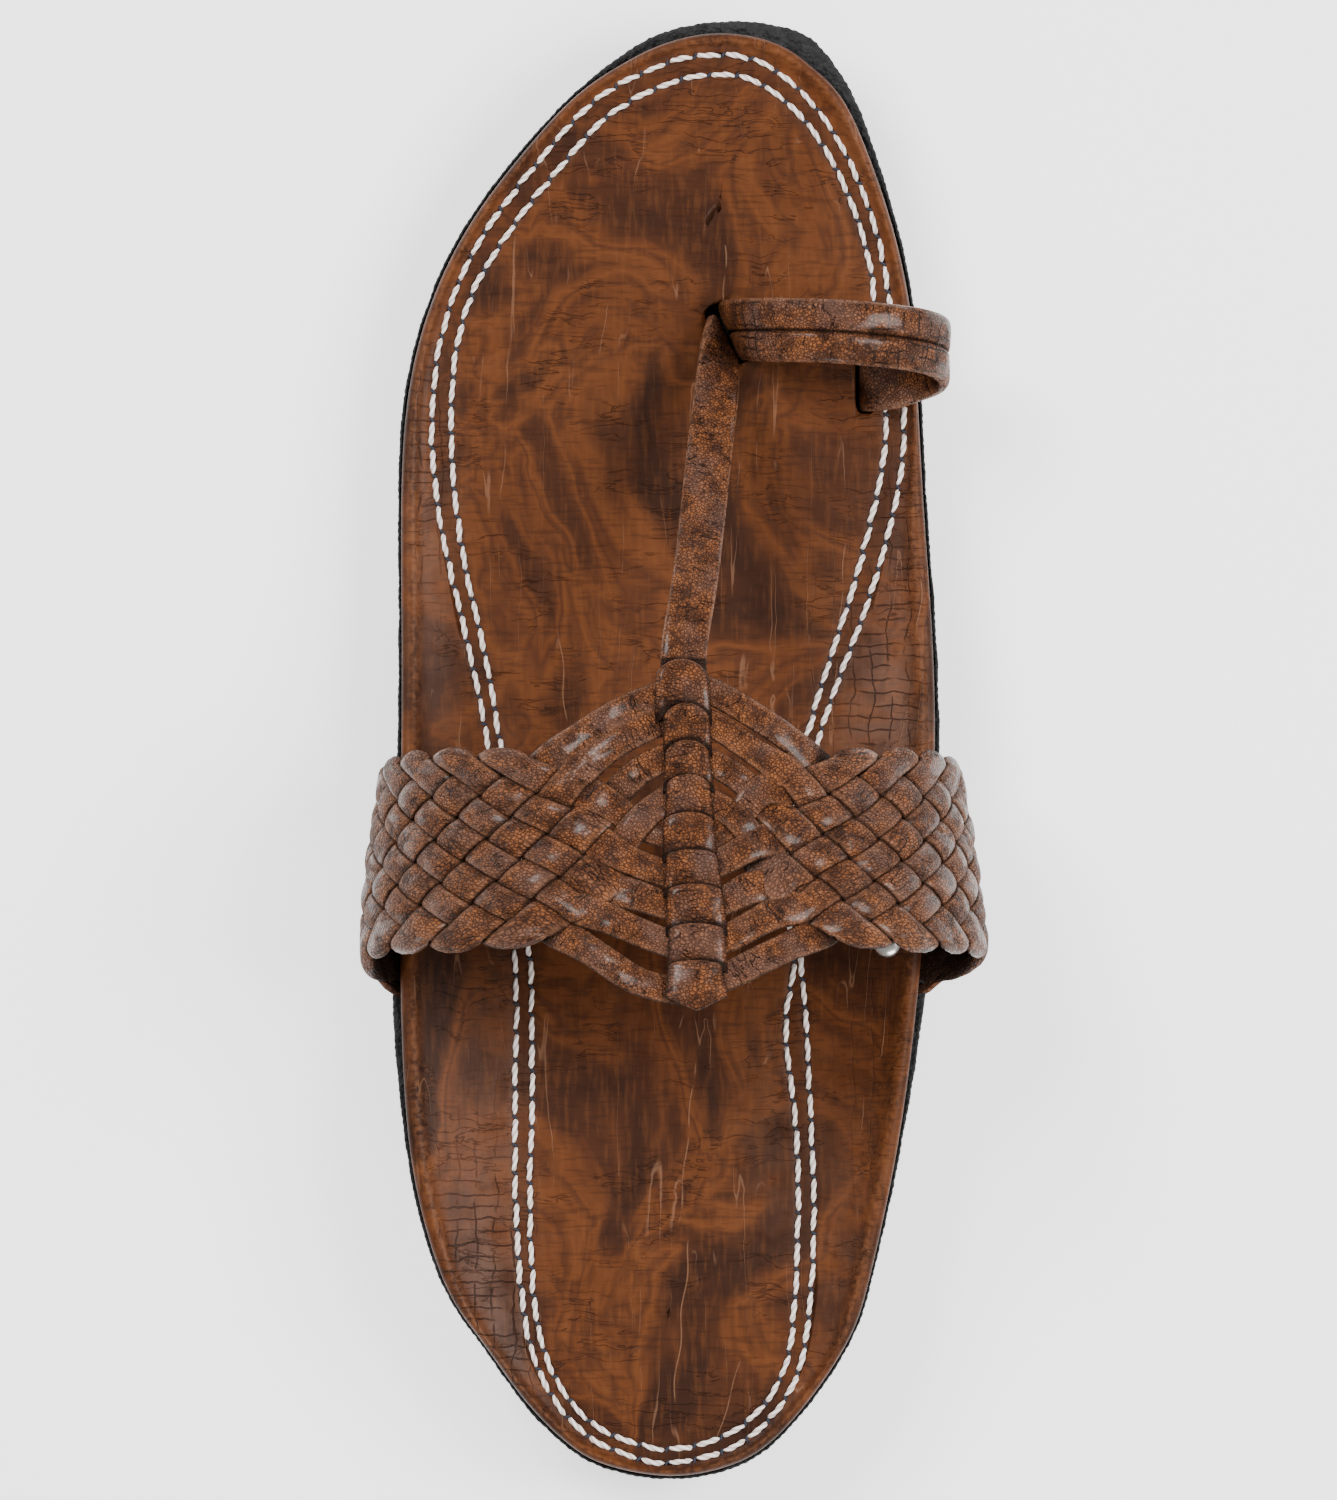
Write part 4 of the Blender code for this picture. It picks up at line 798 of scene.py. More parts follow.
def make_stitches(light, dark):
    """Each stitch is a two-ply twisted thread: a round section whose radius has two lobes that turn as it runs,
    arched over the leather and thinned at its ends. A dark link of the lower thread lies in the dip between."""
    threads, links = Shape(), Shape()
    seam = outline(SEAM_OUTLINE, 2400)
    rng = np.random.default_rng(11)
    steps, around = 13, 10
    share = np.linspace(-1, 1, steps)
    angle = np.linspace(0, 2 * np.pi, around, endpoint=False)
    for row, lean in ((seam, -0.10), (inner_row(seam), -0.10)):
        point = stitch_line(row)
        rows = [point(value * STITCH_LENGTH / 2) for value in share]
        for number in range(len(rows[0])):
            flat = np.array([line[number] for line in rows])
            run = flat[-1] - flat[0]
            run /= np.linalg.norm(run)
            sideways = np.array([-run[1], run[0]])
            turn = lean + rng.normal() * 0.035
            sway = 0.00009 * np.sin(share * 2.6 + rng.normal() * 0.4)
            flat = flat + sideways * (share * STITCH_LENGTH / 2 * turn + sway + rng.normal() * 0.00005)[:, None]
            arch = np.clip(1 - share**2, 0, 1)
            up = bed_top(flat[:, 0], flat[:, 1]) - 0.00042 + 0.00050 * arch**0.6
            thin = (1 - np.abs(share) ** 5 * 0.55) * STITCH_WIDTH / 2 * rng.uniform(0.93, 1.07)
            twist = share * 3.3 + rng.uniform(0, 6.28)
            lobes = 1 + 0.16 * np.cos(2 * (angle[None, :] - twist[:, None]))
            radius = thin[:, None] * lobes
            out, high = radius * np.cos(angle), radius * np.sin(angle) * 0.86
            sections = np.empty((steps, around, 3))
            sections[:, :, :2] = flat[:, None, :] + sideways * out[:, :, None]
            sections[:, :, 2] = up[:, None] + high
            # ply is 0 in the grooves between the plies, where the thread material paints shade, and 1 on their crests.
            tube(sections, threads, ply=((lobes - 0.84) / 0.32))
        middle, ahead = point(STITCH_PITCH / 2), point(STITCH_PITCH / 2 + 0.0005)
        run = (ahead - middle) / np.linalg.norm(ahead - middle, axis=1)[:, None]
        sideways = np.column_stack([-run[:, 1], run[:, 0]])
        for number, spot in enumerate(middle):
            tilt = 0.5 + rng.normal() * 0.12
            across = sideways[number] * math.cos(tilt) + run[number] * math.sin(tilt)
            reach = np.linspace(-1, 1, 7) * 0.00068
            flat = spot + across * reach[:, None]
            size = 0.00030 * np.sqrt(np.clip(1.05 - np.linspace(-1, 1, 7) ** 2, 0.05, 1))
            up = bed_top(flat[:, 0], flat[:, 1]) - 0.00010
            along = np.array([-across[1], across[0]])
            ring = np.linspace(0, 2 * np.pi, 6, endpoint=False)
            sections = np.empty((7, 6, 3))
            sections[:, :, :2] = flat[:, None, :] + along * (size[:, None] * np.cos(ring))[:, :, None]
            sections[:, :, 2] = up[:, None] + size[:, None] * np.sin(ring)
            tube(sections, links, ply=np.full((7, 6), 0.5))
    threads.build("stitches", light, "footbed")
    links.build("stitch_links", dark, "footbed")


# The instep band

ARCS = np.linspace(0, 1, 241)
BAND_Y = np.linspace(0.298, 0.600, 121) * SOLE_LENGTH
ARC_LENGTH = {}


def tab_height(side, x, y):
    """Middle of the band where it lies under the footbed's wing."""
    seam, rim = edge_x("seam", side, y), edge_x("rim", side, y)
    across = np.clip((x - seam) / (rim - seam), 0, 1)
    return sole_top(y) + WING_SLOPE * abs(rim - seam) * wing_share(across) - GAP - WALL / 2 - 0.00015


def band_section(side, y):
    """Half a section of the band's middle surface: a spline by length from the crown down to the tab's end."""
    along = y / SOLE_LENGTH
    rim = float(edge_x("rim", side, y))
    crown = float(read(CROWN_LINE, 1, along)) * HALF_BALL
    bulge = float(read(BULGE, 2 if side > 0 else 1, along)) * HALF_BALL
    tab_end, tab_edge = rim - side * TAB_REACH, rim - side * 0.0006
    low = float(tab_height(side, tab_edge, y))
    share = (BAND_EDGES[0][1] - along) / (BAND_EDGES[0][1] - BAND_EDGES[0][2])
    high = float(sole_top(y)) + BED + CROWN_FRONT + (CROWN_REAR - CROWN_FRONT) * share
    points = [(crown + out * (bulge - crown), low + up * (high - low)) for out, up in BAND_SECTION]
    middle = (tab_edge + tab_end) / 2
    points += [(rim + 0.62 * (bulge - rim), low + 0.0022), (tab_edge, low),
               (middle, float(tab_height(side, middle, y))), (tab_end, float(tab_height(side, tab_end, y)))]
    points = np.array(points)
    mirrored = points[1:3] * (-1, 1) + (2 * points[0, 0], 0)
    chain = np.vstack([mirrored[::-1], points])
    knots = arc_steps(chain)
    knots -= knots[2]
    line = spline(knots, chain, np.linspace(0, knots[-1], 160))
    steps = arc_steps(line)
    ARC_LENGTH[side] = steps[-1]
    return [np.interp(ARCS, steps / steps[-1], line[:, axis]) for axis in (0, 1)]


def band_table():
    """X and Z of the middle surface over Y and arc, arc running from -1 (left tab) over the crown to 1."""
    rows = []
    for y in BAND_Y:
        left, right = band_section(-1, y), band_section(1, y)
        rows.append([np.concatenate([left[axis][:0:-1], right[axis]]) for axis in (0, 1)])
    return np.array(rows)


BAND = band_table()
LENGTH = (ARC_LENGTH[-1] + ARC_LENGTH[1]) / 2
BAND_ARCS = np.concatenate([-ARCS[:0:-1], ARCS])


def band(arc, y):
    """Point of the middle surface, by straight mixing between the table's four nearest places."""
    arc, y = np.broadcast_arrays(np.asarray(arc, float), np.asarray(y, float))
    column = np.clip((arc + 1) / 2 * (len(BAND_ARCS) - 1), 0, len(BAND_ARCS) - 1.001)
    row = np.clip((y - BAND_Y[0]) / (BAND_Y[-1] - BAND_Y[0]) * (len(BAND_Y) - 1), 0, len(BAND_Y) - 1.001)
    c, r = column.astype(int), row.astype(int)
    u, v = column - c, row - r
    x, z = ((1 - v) * ((1 - u) * BAND[r, axis, c] + u * BAND[r, axis, c + 1])
            + v * ((1 - u) * BAND[r + 1, axis, c] + u * BAND[r + 1, axis, c + 1]) for axis in (0, 1))
    return np.stack([x, y, z], axis=-1)


def band_normal(arc, y):
    """Outward direction of the middle surface: the cross product of its steps along arc and Y."""
    across = band(np.minimum(arc + 0.012, 1), y) - band(np.maximum(arc - 0.012, -1), y)
    run = band(arc, y + 0.002) - band(arc, y - 0.002)
    normal = np.cross(across, run)
    return normal / np.linalg.norm(normal, axis=-1)[..., None]


EDGE_ARCS = np.linspace(0, 1, 201)
EDGE_FRONT, EDGE_REAR = (read(BAND_EDGES, number, EDGE_ARCS) * SOLE_LENGTH for number in (1, 2))


def band_y(arc, row):
    """Y of a row of crossings: the band's width is nine rows, -1 at the front edge and 8 at the rear edge."""
    front, rear = (np.interp(np.abs(arc), EDGE_ARCS, edge) for edge in (EDGE_FRONT, EDGE_REAR))
    return front + (rear - front) * (np.asarray(row) + 1) / 9


def arc_at(side, x, y):
    """Arc of the point above a place in the plan, as far out as the bulge."""
    row = int(round((y - BAND_Y[0]) / (BAND_Y[-1] - BAND_Y[0]) * (len(BAND_Y) - 1)))
    line = BAND[row, 0]
    half = (line[len(ARCS) - 1:] if side > 0 else line[:len(ARCS)][::-1])
    reach = (half - half[0]) * side
    top = int(np.argmax(reach))
    return float(np.interp((x - half[0]) * side, reach[:top + 1], ARCS[:top + 1]))


# The weave's two families of strips: arc at row 0 of strip 0, arc from strip to strip, arc from row to row
PITCH = 0.122
FIRST = (0.306, 0.300)
DRIFT = (-0.0745, 0.0475)
HALF = 0.462 * PITCH
LIFT = 0.00088
STRIP_THICKNESS = 0.00125
FAN_HALF = 0.00258
END_ARC = 0.955
FRONT_FOLD, REAR_FOLD = -0.66, 7.66

# Strips between the spine and the weave: family, number, row where the weave takes over, then for the left and
# the right the places (right and along as shares) with their levels, 1 over and -1 under
FAN = (
    (1, 0, 0.05, ((-0.014, 0.537, 0.35), (-0.210, 0.521, 0.9), (-0.362, 0.502, 0.9)),
     ((0.170, 0.538, 0.35), (0.243, 0.530, 0.9), (0.377, 0.514, 0.9))),
    (1, -1, 1.05, ((-0.014, 0.519, 0.35), (-0.170, 0.505, 0.9)), ((0.170, 0.516, 0.35), (0.301, 0.499, 0.9))),
    (1, -2, 3.05, ((-0.014, 0.494, 0.35), (-0.101, 0.485, 0.9), (-0.210, 0.467, -1.0)),
     ((0.170, 0.490, 0.35), (0.239, 0.482, 0.9), (0.330, 0.469, -1.0))),
    (1, -3, 5.05, ((-0.014, 0.465, 0.35), (-0.112, 0.449, 1.0), (-0.188, 0.431, -1.0)),
     ((0.170, 0.463, 0.35), (0.261, 0.450, 1.0), (0.326, 0.433, -1.0))),
    (0, 0, 1.05, ((-0.014, 0.444, 0.2), (-0.105, 0.450, -0.9), (-0.219, 0.464, 1.0)),
     ((0.170, 0.444, 0.2), (0.250, 0.454, -0.9), (0.328, 0.471, 1.0))),
    (0, 1, 3.05, ((-0.007, 0.417, 0.4), (-0.155, 0.427, 1.0)), ((0.181, 0.424, 0.4), (0.290, 0.434, 1.0))),
    (0, 2, 5.05, ((0.007, 0.395, 0.4), (-0.115, 0.402, 0.7)), ((0.192, 0.398, 0.4), (0.304, 0.407, 0.7))),
    (0, 3, 6.05, ((0.014, 0.370, 0.4), (-0.210, 0.386, 0.9)), ((0.199, 0.373, 0.4), (0.388, 0.390, 0.9))),
    (0, 4, 7.05, ((-0.007, 0.340, 0.4), (-0.065, 0.342, 0.9), (-0.228, 0.359, 0.9)),
     ((0.188, 0.347, 0.4), (0.333, 0.359, 0.9))),
)


def rounded(level):
    """Squares off a wave that runs from -1 to 1: its sign times its size to the power 0.6."""
    return np.sign(level) * np.abs(level) ** 0.60


def lattice_arc(family, number, row):
    return FIRST[family] + PITCH * number + DRIFT[family] * row


ACROSS = np.array([-1.0, -0.965, -0.88, -0.60, -0.25, 0.25, 0.60, 0.88, 0.965, 1.0])


def lattice_grid(family, number, rows):
    """Arc, Y and height of a strip in the weave, over rows and across its width.

    In the middle the width lies along the other family's strips; towards the band's edges it turns to lie along
    the edge. The height is the squared-off cosine of the row, so the strip is over and under in turn.
    """
    arc = lattice_arc(family, number, rows)[:, None]
    turn = np.maximum(smooth((-rows - 0.30) / 0.36), smooth((rows - 7.30) / 0.36))[:, None]
    across = ACROSS[None, :] * HALF / PITCH
    skew_arc, skew_row = (-DRIFT[1 - family] if family == 1 else DRIFT[1]), (1 if family == 0 else -1)
    arc = arc + across * ((1 - turn) * skew_arc + turn * PITCH)
    row = rows[:, None] + across * (1 - turn) * skew_row
    row = row + scallop(rows[:, None] > 3.5) * turn
    wave = np.cos(np.pi * (np.clip(rows, 0.05, 7.05) - 0.05)) * (1 if family == 0 else -1)
    height = rounded(wave)[:, None] * LIFT + 0 * arc
    return arc, band_y(arc, row), height


def scallop(rear):
    """Rows by which a turned strip's middle stands out over the band's edge: a parabola over its width."""
    return np.where(rear, 1, -1) * (0.30 * (1 - ACROSS[None, :] ** 2) - 0.14)


def fold_grid(rear, arc_from, arc_to):
    """A strip turning over the band's edge: half a circle in row and height, its arc moving on evenly."""
    angle = np.linspace(0, np.pi, 9)[1:-1]
    middle = arc_from + (arc_to - arc_from) * angle / np.pi
    arc = middle[:, None] + ACROSS[None, :] * HALF
    front, back = (np.interp(np.clip(arc, 0, 1), EDGE_ARCS, edge) for edge in (EDGE_FRONT, EDGE_REAR))
    pitch = (front - back) / 9
    row = (REAR_FOLD if rear else FRONT_FOLD) + (1 if rear else -1) * LIFT * 1.2 / pitch * np.sin(angle)[:, None]
    row = row + scallop(rear)
    height = LIFT * np.cos(angle)[:, None] + 0 * arc
    return arc, band_y(arc, row), height


def fan_grid(side, family, number, join, knots):
    """A strip between the spine and the weave: a spline through its places, its width square to its run."""
    places = []
    for right, along, level in knots:
        y = along * SOLE_LENGTH
        places.append((arc_at(side, right * HALF_BALL, y), y, level))
    first, second = np.array(places[0]), np.array(places[1])
    inner = first + (first - second) * (first[0] - 0.012) / max(second[0] - first[0], 0.02)
    inner[2] = 0.1
    inner[1] = first[1] + (inner[1] - first[1]) * 0.6
    places = [inner] + [np.array(place) for place in places]
    way = -1 if family == 0 else 1
    for row in (join, join + 0.5 * way, join + way):
        arc = lattice_arc(family, number, row)
        wave = math.cos(math.pi * (row - 0.05)) * (1 if family == 0 else -1)
        places.append(np.array([arc, float(band_y(arc, row)), float(rounded(wave))]))
    places = np.array(places)
    metric = places[:, :2] * (LENGTH, 1)
    knots = arc_steps(metric)
    end = knots[-3]
    at = np.linspace(0, end, max(int(end / 0.00045), 8))
    line = spline(knots, metric, at)
    cell = np.clip(np.searchsorted(knots, at, side="right") - 1, 0, len(knots) - 2)
    share = smooth((at - knots[cell]) / (knots[cell + 1] - knots[cell]))
    level = places[cell, 2] + (places[cell + 1, 2] - places[cell, 2]) * share
    run = np.gradient(line, axis=0)
    run /= np.linalg.norm(run, axis=1)[:, None]
    square = np.column_stack([run[:, 1], -run[:, 0]]) * (1 if family == 0 else -1)
    if np.mean(square[:, 0]) < 0:
        square = -square
    half = FAN_HALF + 0.00070 * smooth((at - end + 0.012) / 0.010)[:, None]
    plain_arc = line[:, :1] / LENGTH + ACROSS[None, :] * square[:, :1] * half / LENGTH
    plain_y = line[:, 1:] + ACROSS[None, :] * square[:, 1:] * half
    skew_arc, skew_row = (-DRIFT[1 - family] if family == 1 else DRIFT[1]), (1 if family == 0 else -1)
    front, back = (np.interp(line[:, 0] / LENGTH, EDGE_ARCS, edge) for edge in (EDGE_FRONT, EDGE_REAR))
    rows = (line[:, 1] - front) / (back - front) * 9 - 1
    across = ACROSS[None, :] * HALF / PITCH
    skewed_arc = line[:, :1] / LENGTH + across * skew_arc
    skewed_y = band_y(skewed_arc, rows[:, None] + across * skew_row)
    reach = min(0.0034, 0.3 * end)
    start = knots[-4] - reach / 2 if places[-4, 2] < -0.5 else end - reach
    blend = smooth((at - start) / reach)[:, None]
    arc = plain_arc + (skewed_arc - plain_arc) * blend
    y = plain_y + (skewed_y - plain_y) * blend
    return arc, y, level[:, None] * LIFT + 0 * arc


def weave_strip(side, family, number, join, knots):
    """One strip from the spine to the tab: its fan, its lengths in the weave and its turns over the edges.

    Returns arc, Y, height and painted shade; a part is painted dark below its own level, where it dives under its
    neighbours.
    """
    parts = [(*fan_grid(side, family, number, join, knots), -0.30)]
    row = join
    while True:
        fold = FRONT_FOLD if family == 0 else REAR_FOLD
        stop = (END_ARC - FIRST[family] - PITCH * number) / DRIFT[family]
        last = (family == 0 and stop > fold) or (family == 1 and stop < fold)
        target = stop if last else fold
        count = max(int(abs(target - row) * 10), 2)
        rows = np.linspace(row, target, count + 1)[1:]
        parts.append((*lattice_grid(family, number, rows), 0.62))
        if last:
            break
        after = (1, number + 1) if family == 0 else (0, number + 8)
        parts.append((*fold_grid(family == 1, lattice_arc(family, number, fold), lattice_arc(*after, fold)), 0.10))
        (family, number), row = after, fold
    # Painted shade grows as a part sinks below its level, where it dives under its neighbours.
    deep = [smooth((start - part[2] / LIFT) / 0.5) * 0.92 for *part, start in parts]
    return *(np.vstack([part[axis] for part in parts]) for axis in range(3)), np.vstack(deep)


def ribbon(middle, half, crown, shape, number, width, deep):
    """Closed strip about its middle surface: each point moved both ways along the surface's own normal, by the
    half thickness times a roundness that falls towards the strip's edges."""
    run = np.gradient(middle, axis=0)
    side = np.gradient(middle, ACROSS, axis=1)
    normal = np.cross(run, side)
    normal /= np.maximum(np.linalg.norm(normal, axis=-1), 1e-12)[..., None]
    roundness = (1 - np.abs(ACROSS) ** 9 * 0.62) * half + crown * (1 - ACROSS**2)
    offset = roundness[None, :, None]
    top, under = middle + normal * offset, middle - normal * offset
    sections = np.concatenate([top, under[:, ::-1]], axis=1)
    steps = arc_steps(middle.mean(axis=1))
    length = np.repeat(steps[:, None], len(ACROSS), axis=1)
    across = np.repeat(ACROSS[None, :] * width, len(middle), axis=0)
    tag = np.full_like(length, number * 0.037)
    strip = np.stack([length + number * 0.311, across, tag], axis=-1)
    strip = np.concatenate([strip, strip[:, ::-1]], axis=1)
    edge = np.repeat(smooth((np.abs(ACROSS) - 0.80) / 0.16)[None, :], len(middle), axis=0)
    edge = np.concatenate([edge, edge[:, ::-1]], axis=1)
    deep = np.concatenate([deep, deep[:, ::-1]], axis=1)
    tube(sections, shape, strip=strip, edge=edge, deep=deep)


def make_weave(leather):
    """Nine strips a side, woven over and under, each laid on the band's middle surface."""
    shape = Shape()
    for side in (-1, 1):
        for order, (family, number, join, left, right) in enumerate(FAN):
            arc, y, height, deep = weave_strip(side, family, number, join, right if side > 0 else left)
            arc = np.clip(arc, 0.004, 1.0 + 0.002 * ACROSS[None, :])
            squeeze = 1 - 0.72 * smooth((arc.mean(axis=1) - 0.86) / 0.06)[:, None]
            middle = band(side * arc, y) + band_normal(side * np.clip(arc, 0, 0.985), y) * (height * squeeze)[..., None]
            # Painted shade along the strips' sides, under the edges of the strips beside them.
            deep = np.maximum(deep, smooth((np.abs(ACROSS) - 0.90) / 0.09) * 0.75)
            ribbon(middle, STRIP_THICKNESS / 2, 0.00026, shape, order * 2 + (side > 0), 0.0031, deep)
    return shape.build("woven_strips", leather, "upper", replaces=("upper",))


# Folds of the spine from front to rear: front along, rear along, middle right, half width in mm, arch in mm
SADDLES = (
    (0.5600, 0.5240, 0.054, 5.1, 2.5), (0.5300, 0.5010, 0.070, 4.5, 2.3), (0.5050, 0.4760, 0.073, 4.4, 2.0),
    (0.4820, 0.4515, 0.076, 4.1, 1.6), (0.4565, 0.4270, 0.078, 4.6, 1.3), (0.4315, 0.4030, 0.089, 4.7, 1.0),
    (0.4085, 0.3770, 0.099, 4.8, 1.0), (0.3820, 0.3520, 0.104, 4.7, 0.9), (0.3575, 0.3235, 0.100, 4.6, 0.8),
)


def make_spine(leather):
    """Nine overlapping folds: a sheet whose height falls from its front lip to its rear and towards both sides,
    its front edge arched forwards; the last one ends in a point."""
    shape = Shape()
    u = np.concatenate([[0.0, 0.012, 0.035, 0.08], np.linspace(0.15, 0.95, 12), [1.0]])[:, None]
    v = np.array([-1.0, -0.97, -0.88, -0.70, -0.48, -0.24, 0.0, 0.24, 0.48, 0.70, 0.88, 0.97, 1.0])[None, :]
    for number, (front, rear, right, half, arch) in enumerate(SADDLES):
        tail = number == len(SADDLES) - 1
        front_y = front * SOLE_LENGTH - arch / 1000 * np.abs(v) ** 2.2
        if tail:
            rear_y = (rear + 0.0105 * np.clip(np.abs(v) - 0.05, 0, 1)) * SOLE_LENGTH
        else:
            rear_y = rear * SOLE_LENGTH - arch / 1000 * np.abs(v) ** 2.2
        y = front_y + (rear_y - front_y) * u
        wide = half / 1000 * (0.90 + 0.13 * u + 0.02 * np.sin(number * 2.1 + 3 * u))
        crown_x = read(CROWN_LINE, 1, y / SOLE_LENGTH) * HALF_BALL
        offset = right * HALF_BALL - crown_x.mean() + v * wide
        arc = offset / LENGTH
        lip = 1 - np.exp(-u / 0.030)
        height = 0.00195 + 0.00165 * lip * (1 - (0.35 if tail else 0.85) * smooth(u))
        height = height - 0.00022 * v**2 - 0.00095 * np.abs(v) ** 9
        height = height + 0.00016 * np.sin(v * 3.4 + number * 1.7) * np.sin(u * 6 + number * 2.3)
        normal = band_normal(arc, y)
        face = band(arc, y)
        top = face + normal * height[..., None]
        under = face + normal * (height - 0.00105)[..., None]
        points = np.concatenate([top.reshape(-1, 3), under.reshape(-1, 3)])
        rows, columns = top.shape[:2]
        size = rows * columns
        faces = grid_faces(rows, columns).tolist() + grid_faces(rows, columns, start=size)[:, ::-1].tolist()
        border = [(0, c) for c in range(columns)] + [(r, columns - 1) for r in range(1, rows)]
        border += [(rows - 1, c) for c in range(columns - 2, -1, -1)] + [(r, 0) for r in range(rows - 2, 0, -1)]
        loop = [r * columns + c for r, c in border]
        for step, corner in enumerate(loop):
            after = loop[(step + 1) % len(loop)]
            faces.append([after, corner, corner + size, after + size])
        length = (y - y.min()) + 0 * v
        across = v * wide + 0 * u
        strip = np.stack([length + number * 0.113 + 3.0, across, np.full_like(length, number * 0.05)], axis=-1)
        # Painted highlight along each fold's front arch (edge value); painted shade under the front lip, over the rear
        # part that the next fold covers, along the sides and, by the added 0.5, on the underside.
        edge = 0 * v + smooth((0.10 - u) / 0.10) * smooth(u / 0.04) * 0.7
        covered_rear_shade = 0.0 if tail else smooth((u - 0.70) / 0.12) * 0.92
        deep = np.maximum(covered_rear_shade + 0 * v, smooth((0.035 - u) / 0.03) * 0.9 + 0 * v)
        deep = np.maximum(deep, smooth((np.abs(v) - 0.93) / 0.06) * 0.8 + 0 * u)
        shape.add(points, faces, strip=np.concatenate([strip.reshape(-1, 3)] * 2),
                  edge=np.concatenate([edge.ravel()] * 2), deep=np.concatenate([deep.ravel(), deep.ravel() + 0.5]))
    return shape.build("spine_folds", leather, "upper")


# Strap and loop

def strap_frames(rows, rise, steps):
    """Points along a table's line with the directions of its width and its outer face at each."""
    table = np.array(rows)
    x, y = table[:, 1] * HALF_BALL, table[:, 0] * SOLE_LENGTH
    line = np.column_stack([x, y, sole_top(y) + BED + table[:, 2] * rise, np.radians(table[:, 3])])
    knots = arc_steps(line[:, :3])
    fine = spline(knots, line, np.linspace(0, knots[-1], steps))
    run = np.gradient(fine[:, :3], axis=0)
    run /= np.linalg.norm(run, axis=1)[:, None]
    sideways = np.column_stack([np.cos(fine[:, 3]), np.sin(fine[:, 3]), np.zeros(steps)])
    sideways -= run * (run * sideways).sum(axis=1)[:, None]
    sideways /= np.linalg.norm(sideways, axis=1)[:, None]
    return fine[:, :3], sideways, np.cross(sideways, run)


def strap_mesh(shape, frames, outline_points, number, deep=0.0, start_painted_shade=0.0):
    """Closed strap: the same section, given as out and up places, at every point of the line."""
    centre, sideways, normal = frames
    out, up = np.array(outline_points).T
    sections = (centre[:, None, :] + sideways[:, None, :] * out[None, :, None]
                + normal[:, None, :] * up[None, :, None])
    steps = arc_steps(centre)
    length = np.repeat(steps[:, None], len(out), axis=1)
    across = np.repeat(out[None, :], len(steps), axis=0)
    strip = np.stack([length + number * 0.7, across, up[None, :] + 0 * length], axis=-1)
    reach = np.abs(out).max()
    edge = np.repeat(smooth((np.abs(out) / reach - 0.90) / 0.09)[None, :], len(steps), axis=0)
    # Painted shade: the given darkness across the section, and a dark start where the strap comes out from under the
    # first fold.
    dark = np.repeat(np.broadcast_to(deep, out.shape)[None, :], len(steps), axis=0)
    dark = np.maximum(dark, start_painted_shade * smooth((0.0058 - steps) / 0.0008)[:, None])
    tube(sections, shape, strip=strip, edge=edge, deep=dark)


def section_of(width, thickness, top, count=17):
    """Section of a strap: an outer face with heights from a function of the share across, a flat inner face."""
    share = np.sin(np.linspace(-np.pi / 2, np.pi / 2, count))
    corner = 0.30 * thickness
    points = [(value * (width / 2 - 0.0001), thickness / 2 + top(value)) for value in share]
    points = [(out, up - corner * abs(value) ** 14) for (out, up), value in zip(points, share)]
    points += [(width / 2, thickness * 0.12), (width / 2 - 0.00012, 0.0), (width / 2, -thickness * 0.15)]
    points += [(value * (width / 2 - 0.0002), -thickness / 2 + 0.2 * corner * abs(value) ** 14)
               for value in share[::-2]]
    points += [(-width / 2, -thickness * 0.15), (-width / 2 + 0.00012, 0.0), (-width / 2, thickness * 0.12)]
    return points


def make_strap(leather):
    """Centre strap: a flat strap with a shallow crown, from under the first fold down to the slot."""
    shape = Shape()
    section = section_of(STRAP_WIDTH, 0.0020, lambda share: 0.00016 * (1 - share**2))
    strap_mesh(shape, strap_frames(STRAP_LINE, CROWN_FRONT, 160), section, 40, start_painted_shade=0.9)
    return shape.build("centre_strap", leather, "upper")


def make_loop(leather):
    """Toe loop: two plies side by side with a sharp groove between them, each slightly crowned."""
    def face(share):
        lobe = 0.00020 * (1 - (2 * abs(share) - 1) ** 2)
        return lobe - 0.00075 * math.exp(-(share / 0.055) ** 2)

    share = np.unique(np.concatenate([np.sin(np.linspace(-np.pi / 2, np.pi / 2, 15)),
                                      np.linspace(-0.14, 0.14, 9)]))
    thickness, width = LOOP_THICKNESS, LOOP_WIDTH
    corner = 0.26 * thickness
    points = [(value * (width / 2 - 0.0001), thickness / 2 + face(value) - corner * abs(value) ** 14)
              for value in share]
    points += [(width / 2, thickness * 0.12), (width / 2 - 0.00015, 0.0), (width / 2, -thickness * 0.15)]
    points += [(value * (width / 2 - 0.0002), -thickness / 2 + 0.3 * corner * abs(value) ** 14)
               for value in np.linspace(1, -1, 9)]
    points += [(-width / 2, -thickness * 0.15), (-width / 2 + 0.00015, 0.0), (-width / 2, thickness * 0.12)]
    # Painted shade in the sharp groove between the two plies.
    groove = np.array([math.exp(-(out / (width / 2) / 0.045) ** 2) if up > 0 else 0.0 for out, up in points])
    shape = Shape()
    strap_mesh(shape, strap_frames(LOOP_LINE, LOOP_RISE, 200), points, 50, deep=groove)
    return shape.build("toe_loop_strap", leather, "toe_loop", replaces=("toe_loop",))


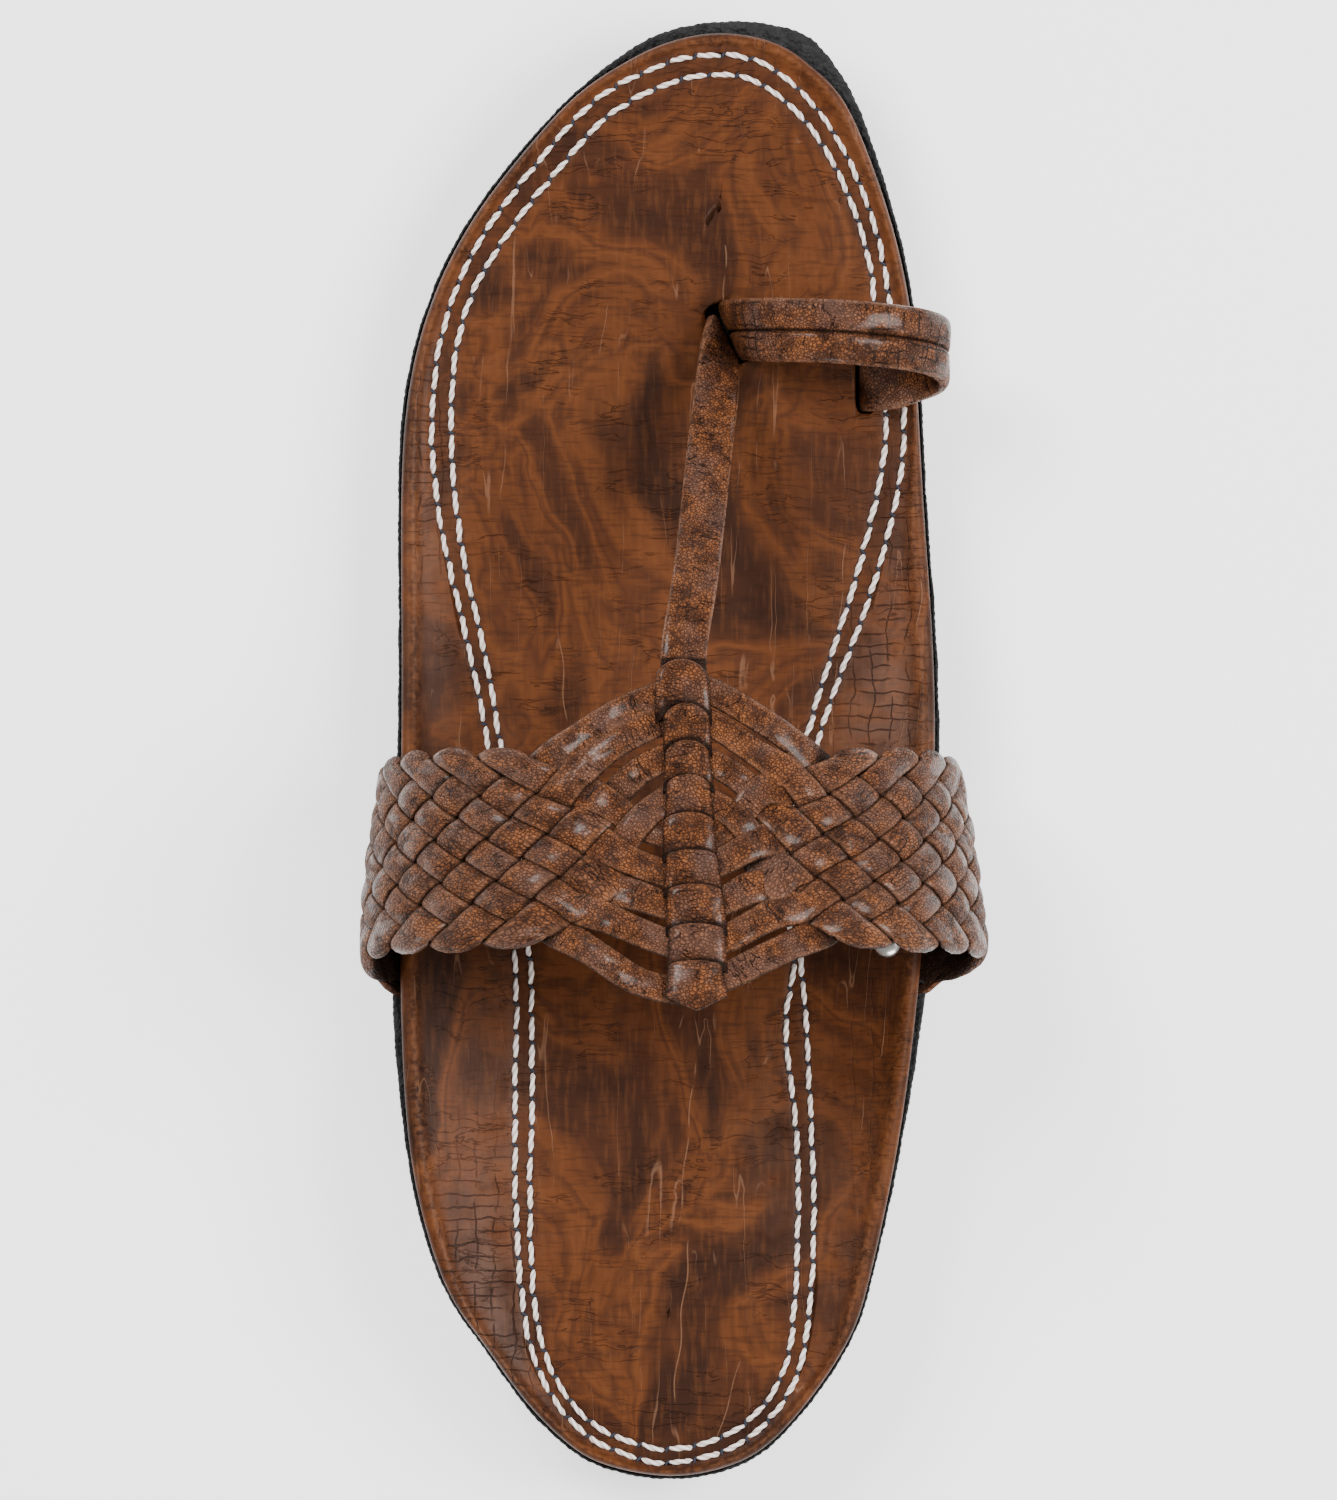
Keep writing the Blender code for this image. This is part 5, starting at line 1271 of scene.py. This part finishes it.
def make_rivet(metal):
    """Domed head turned round the wing's normal: a quarter ellipse with a rounded brim."""
    x, y = RIVET_PLACE[1] * HALF_BALL, RIVET_PLACE[0] * SOLE_LENGTH
    reach = 0.002
    slope_x = float(bed_top(x + reach, y) - bed_top(x - reach, y)) / (2 * reach)
    slope_y = float(bed_top(x, y + reach) - bed_top(x, y - reach)) / (2 * reach)
    axis = Vector((-slope_x, -slope_y, 1)).normalized()
    turn = np.array(Vector((0, 0, 1)).rotation_difference(axis).to_matrix())
    angle = np.linspace(0, np.pi / 2, 10)
    profile = [(0.0029 * math.sin(a) + 0.00002, 0.0009 + 0.0015 * math.cos(a)) for a in angle]
    profile += [(0.00294, 0.0007), (0.0028, 0.00045), (0.0011, 0.0004), (0.0010, -0.0022), (0.00002, -0.0022)]
    around = np.linspace(0, 2 * np.pi, 48, endpoint=False)
    rings = np.array([[(radius * math.cos(a), radius * math.sin(a), up) for a in around] for radius, up in profile])
    rings = rings @ turn.T + np.array([x, y, float(bed_top(x, y))])
    shape = Shape()
    tube(rings, shape)
    return shape.build("rivet_head", metal, "rivet", replaces=("rivet",), sharp=50)


# Studio

def make_floor():
    """Plain pale floor."""
    f = Finish("studio_floor")
    tone = f.noise(f.place(), 3.0, 2.0)
    material = f.done(Base_Color=f.mix(tone, (0.88, 0.88, 0.88), (0.90, 0.90, 0.90)), Roughness=0.75,
                      Emission_Color=(1.0, 1.0, 1.0), Emission_Strength=1.0)
    mesh = bpy.data.meshes.new("floor")
    mesh.from_pydata([(-4, -4, -0.0001), (4, -4, -0.0001), (4, 4, -0.0001), (-4, 4, -0.0001)], [], [(0, 1, 2, 3)])
    mesh.materials.append(material)
    floor = bpy.data.objects.new("floor", mesh)
    bpy.context.scene.collection.objects.link(floor)


def add_light(name, spot, aim, size, power, colour=(1.0, 1.0, 1.0)):
    lamp = bpy.data.lights.new(name, "AREA")
    lamp.shape, lamp.size, lamp.size_y = "RECTANGLE", *size
    lamp.energy, lamp.color = power, colour
    body = bpy.data.objects.new(name, lamp)
    body.location = spot
    body.rotation_euler = (Vector(aim) - Vector(spot)).to_track_quat("-Z", "Y").to_euler()
    bpy.context.scene.collection.objects.link(body)


def make_studio():
    """Camera straight above at the photograph's angle, a pale world and soft lights from both sides."""
    distance = 2.6
    camera = bpy.data.cameras.new("camera")
    camera.sensor_fit, camera.sensor_height = "VERTICAL", 24.0
    view_height = 1500 * 0.0001920
    camera.lens = camera.sensor_height * (distance - 0.02) / view_height
    camera.clip_end = 20
    body = bpy.data.objects.new("camera", camera)
    body.location = (-0.0010, 0.0, distance)
    bpy.context.scene.collection.objects.link(body)
    bpy.context.scene.camera = body
    world = bpy.data.worlds.new("studio")
    world.use_nodes = True
    world.node_tree.nodes["Background"].inputs["Color"].default_value = (1.0, 1.0, 1.0, 1.0)
    world.node_tree.nodes["Background"].inputs["Strength"].default_value = 0.34
    bpy.context.scene.world = world
    add_light("key", (-0.62, 0.60, 1.05), (0, 0, 0.02), (0.60, 0.60), 24.0)
    add_light("fill", (0.75, 0.10, 0.95), (0, 0, 0.02), (0.50, 0.70), 20.0)
    add_light("rim", (0.10, -0.95, 0.75), (0, -0.03, 0.03), (0.7, 0.4), 8.0)


strap_leather = pebbled_leather("pebbled_leather", tone=0.94)
loop_leather = pebbled_leather("cracked_leather", tone=0.92, cracked=((35.016, 35.029), (35.046, 35.068)))
make_outsole(rubber())
make_footbed(burl_leather())
make_stitches(thread("pale_thread", (0.86, 0.79, 0.74), (0.50, 0.40, 0.36)),
              thread("navy_thread", (0.014, 0.016, 0.028), (0.007, 0.008, 0.014)))
make_weave(strap_leather)
make_spine(strap_leather)
make_strap(strap_leather)
make_loop(loop_leather)
make_rivet(rivet_metal())
make_floor()
make_studio()
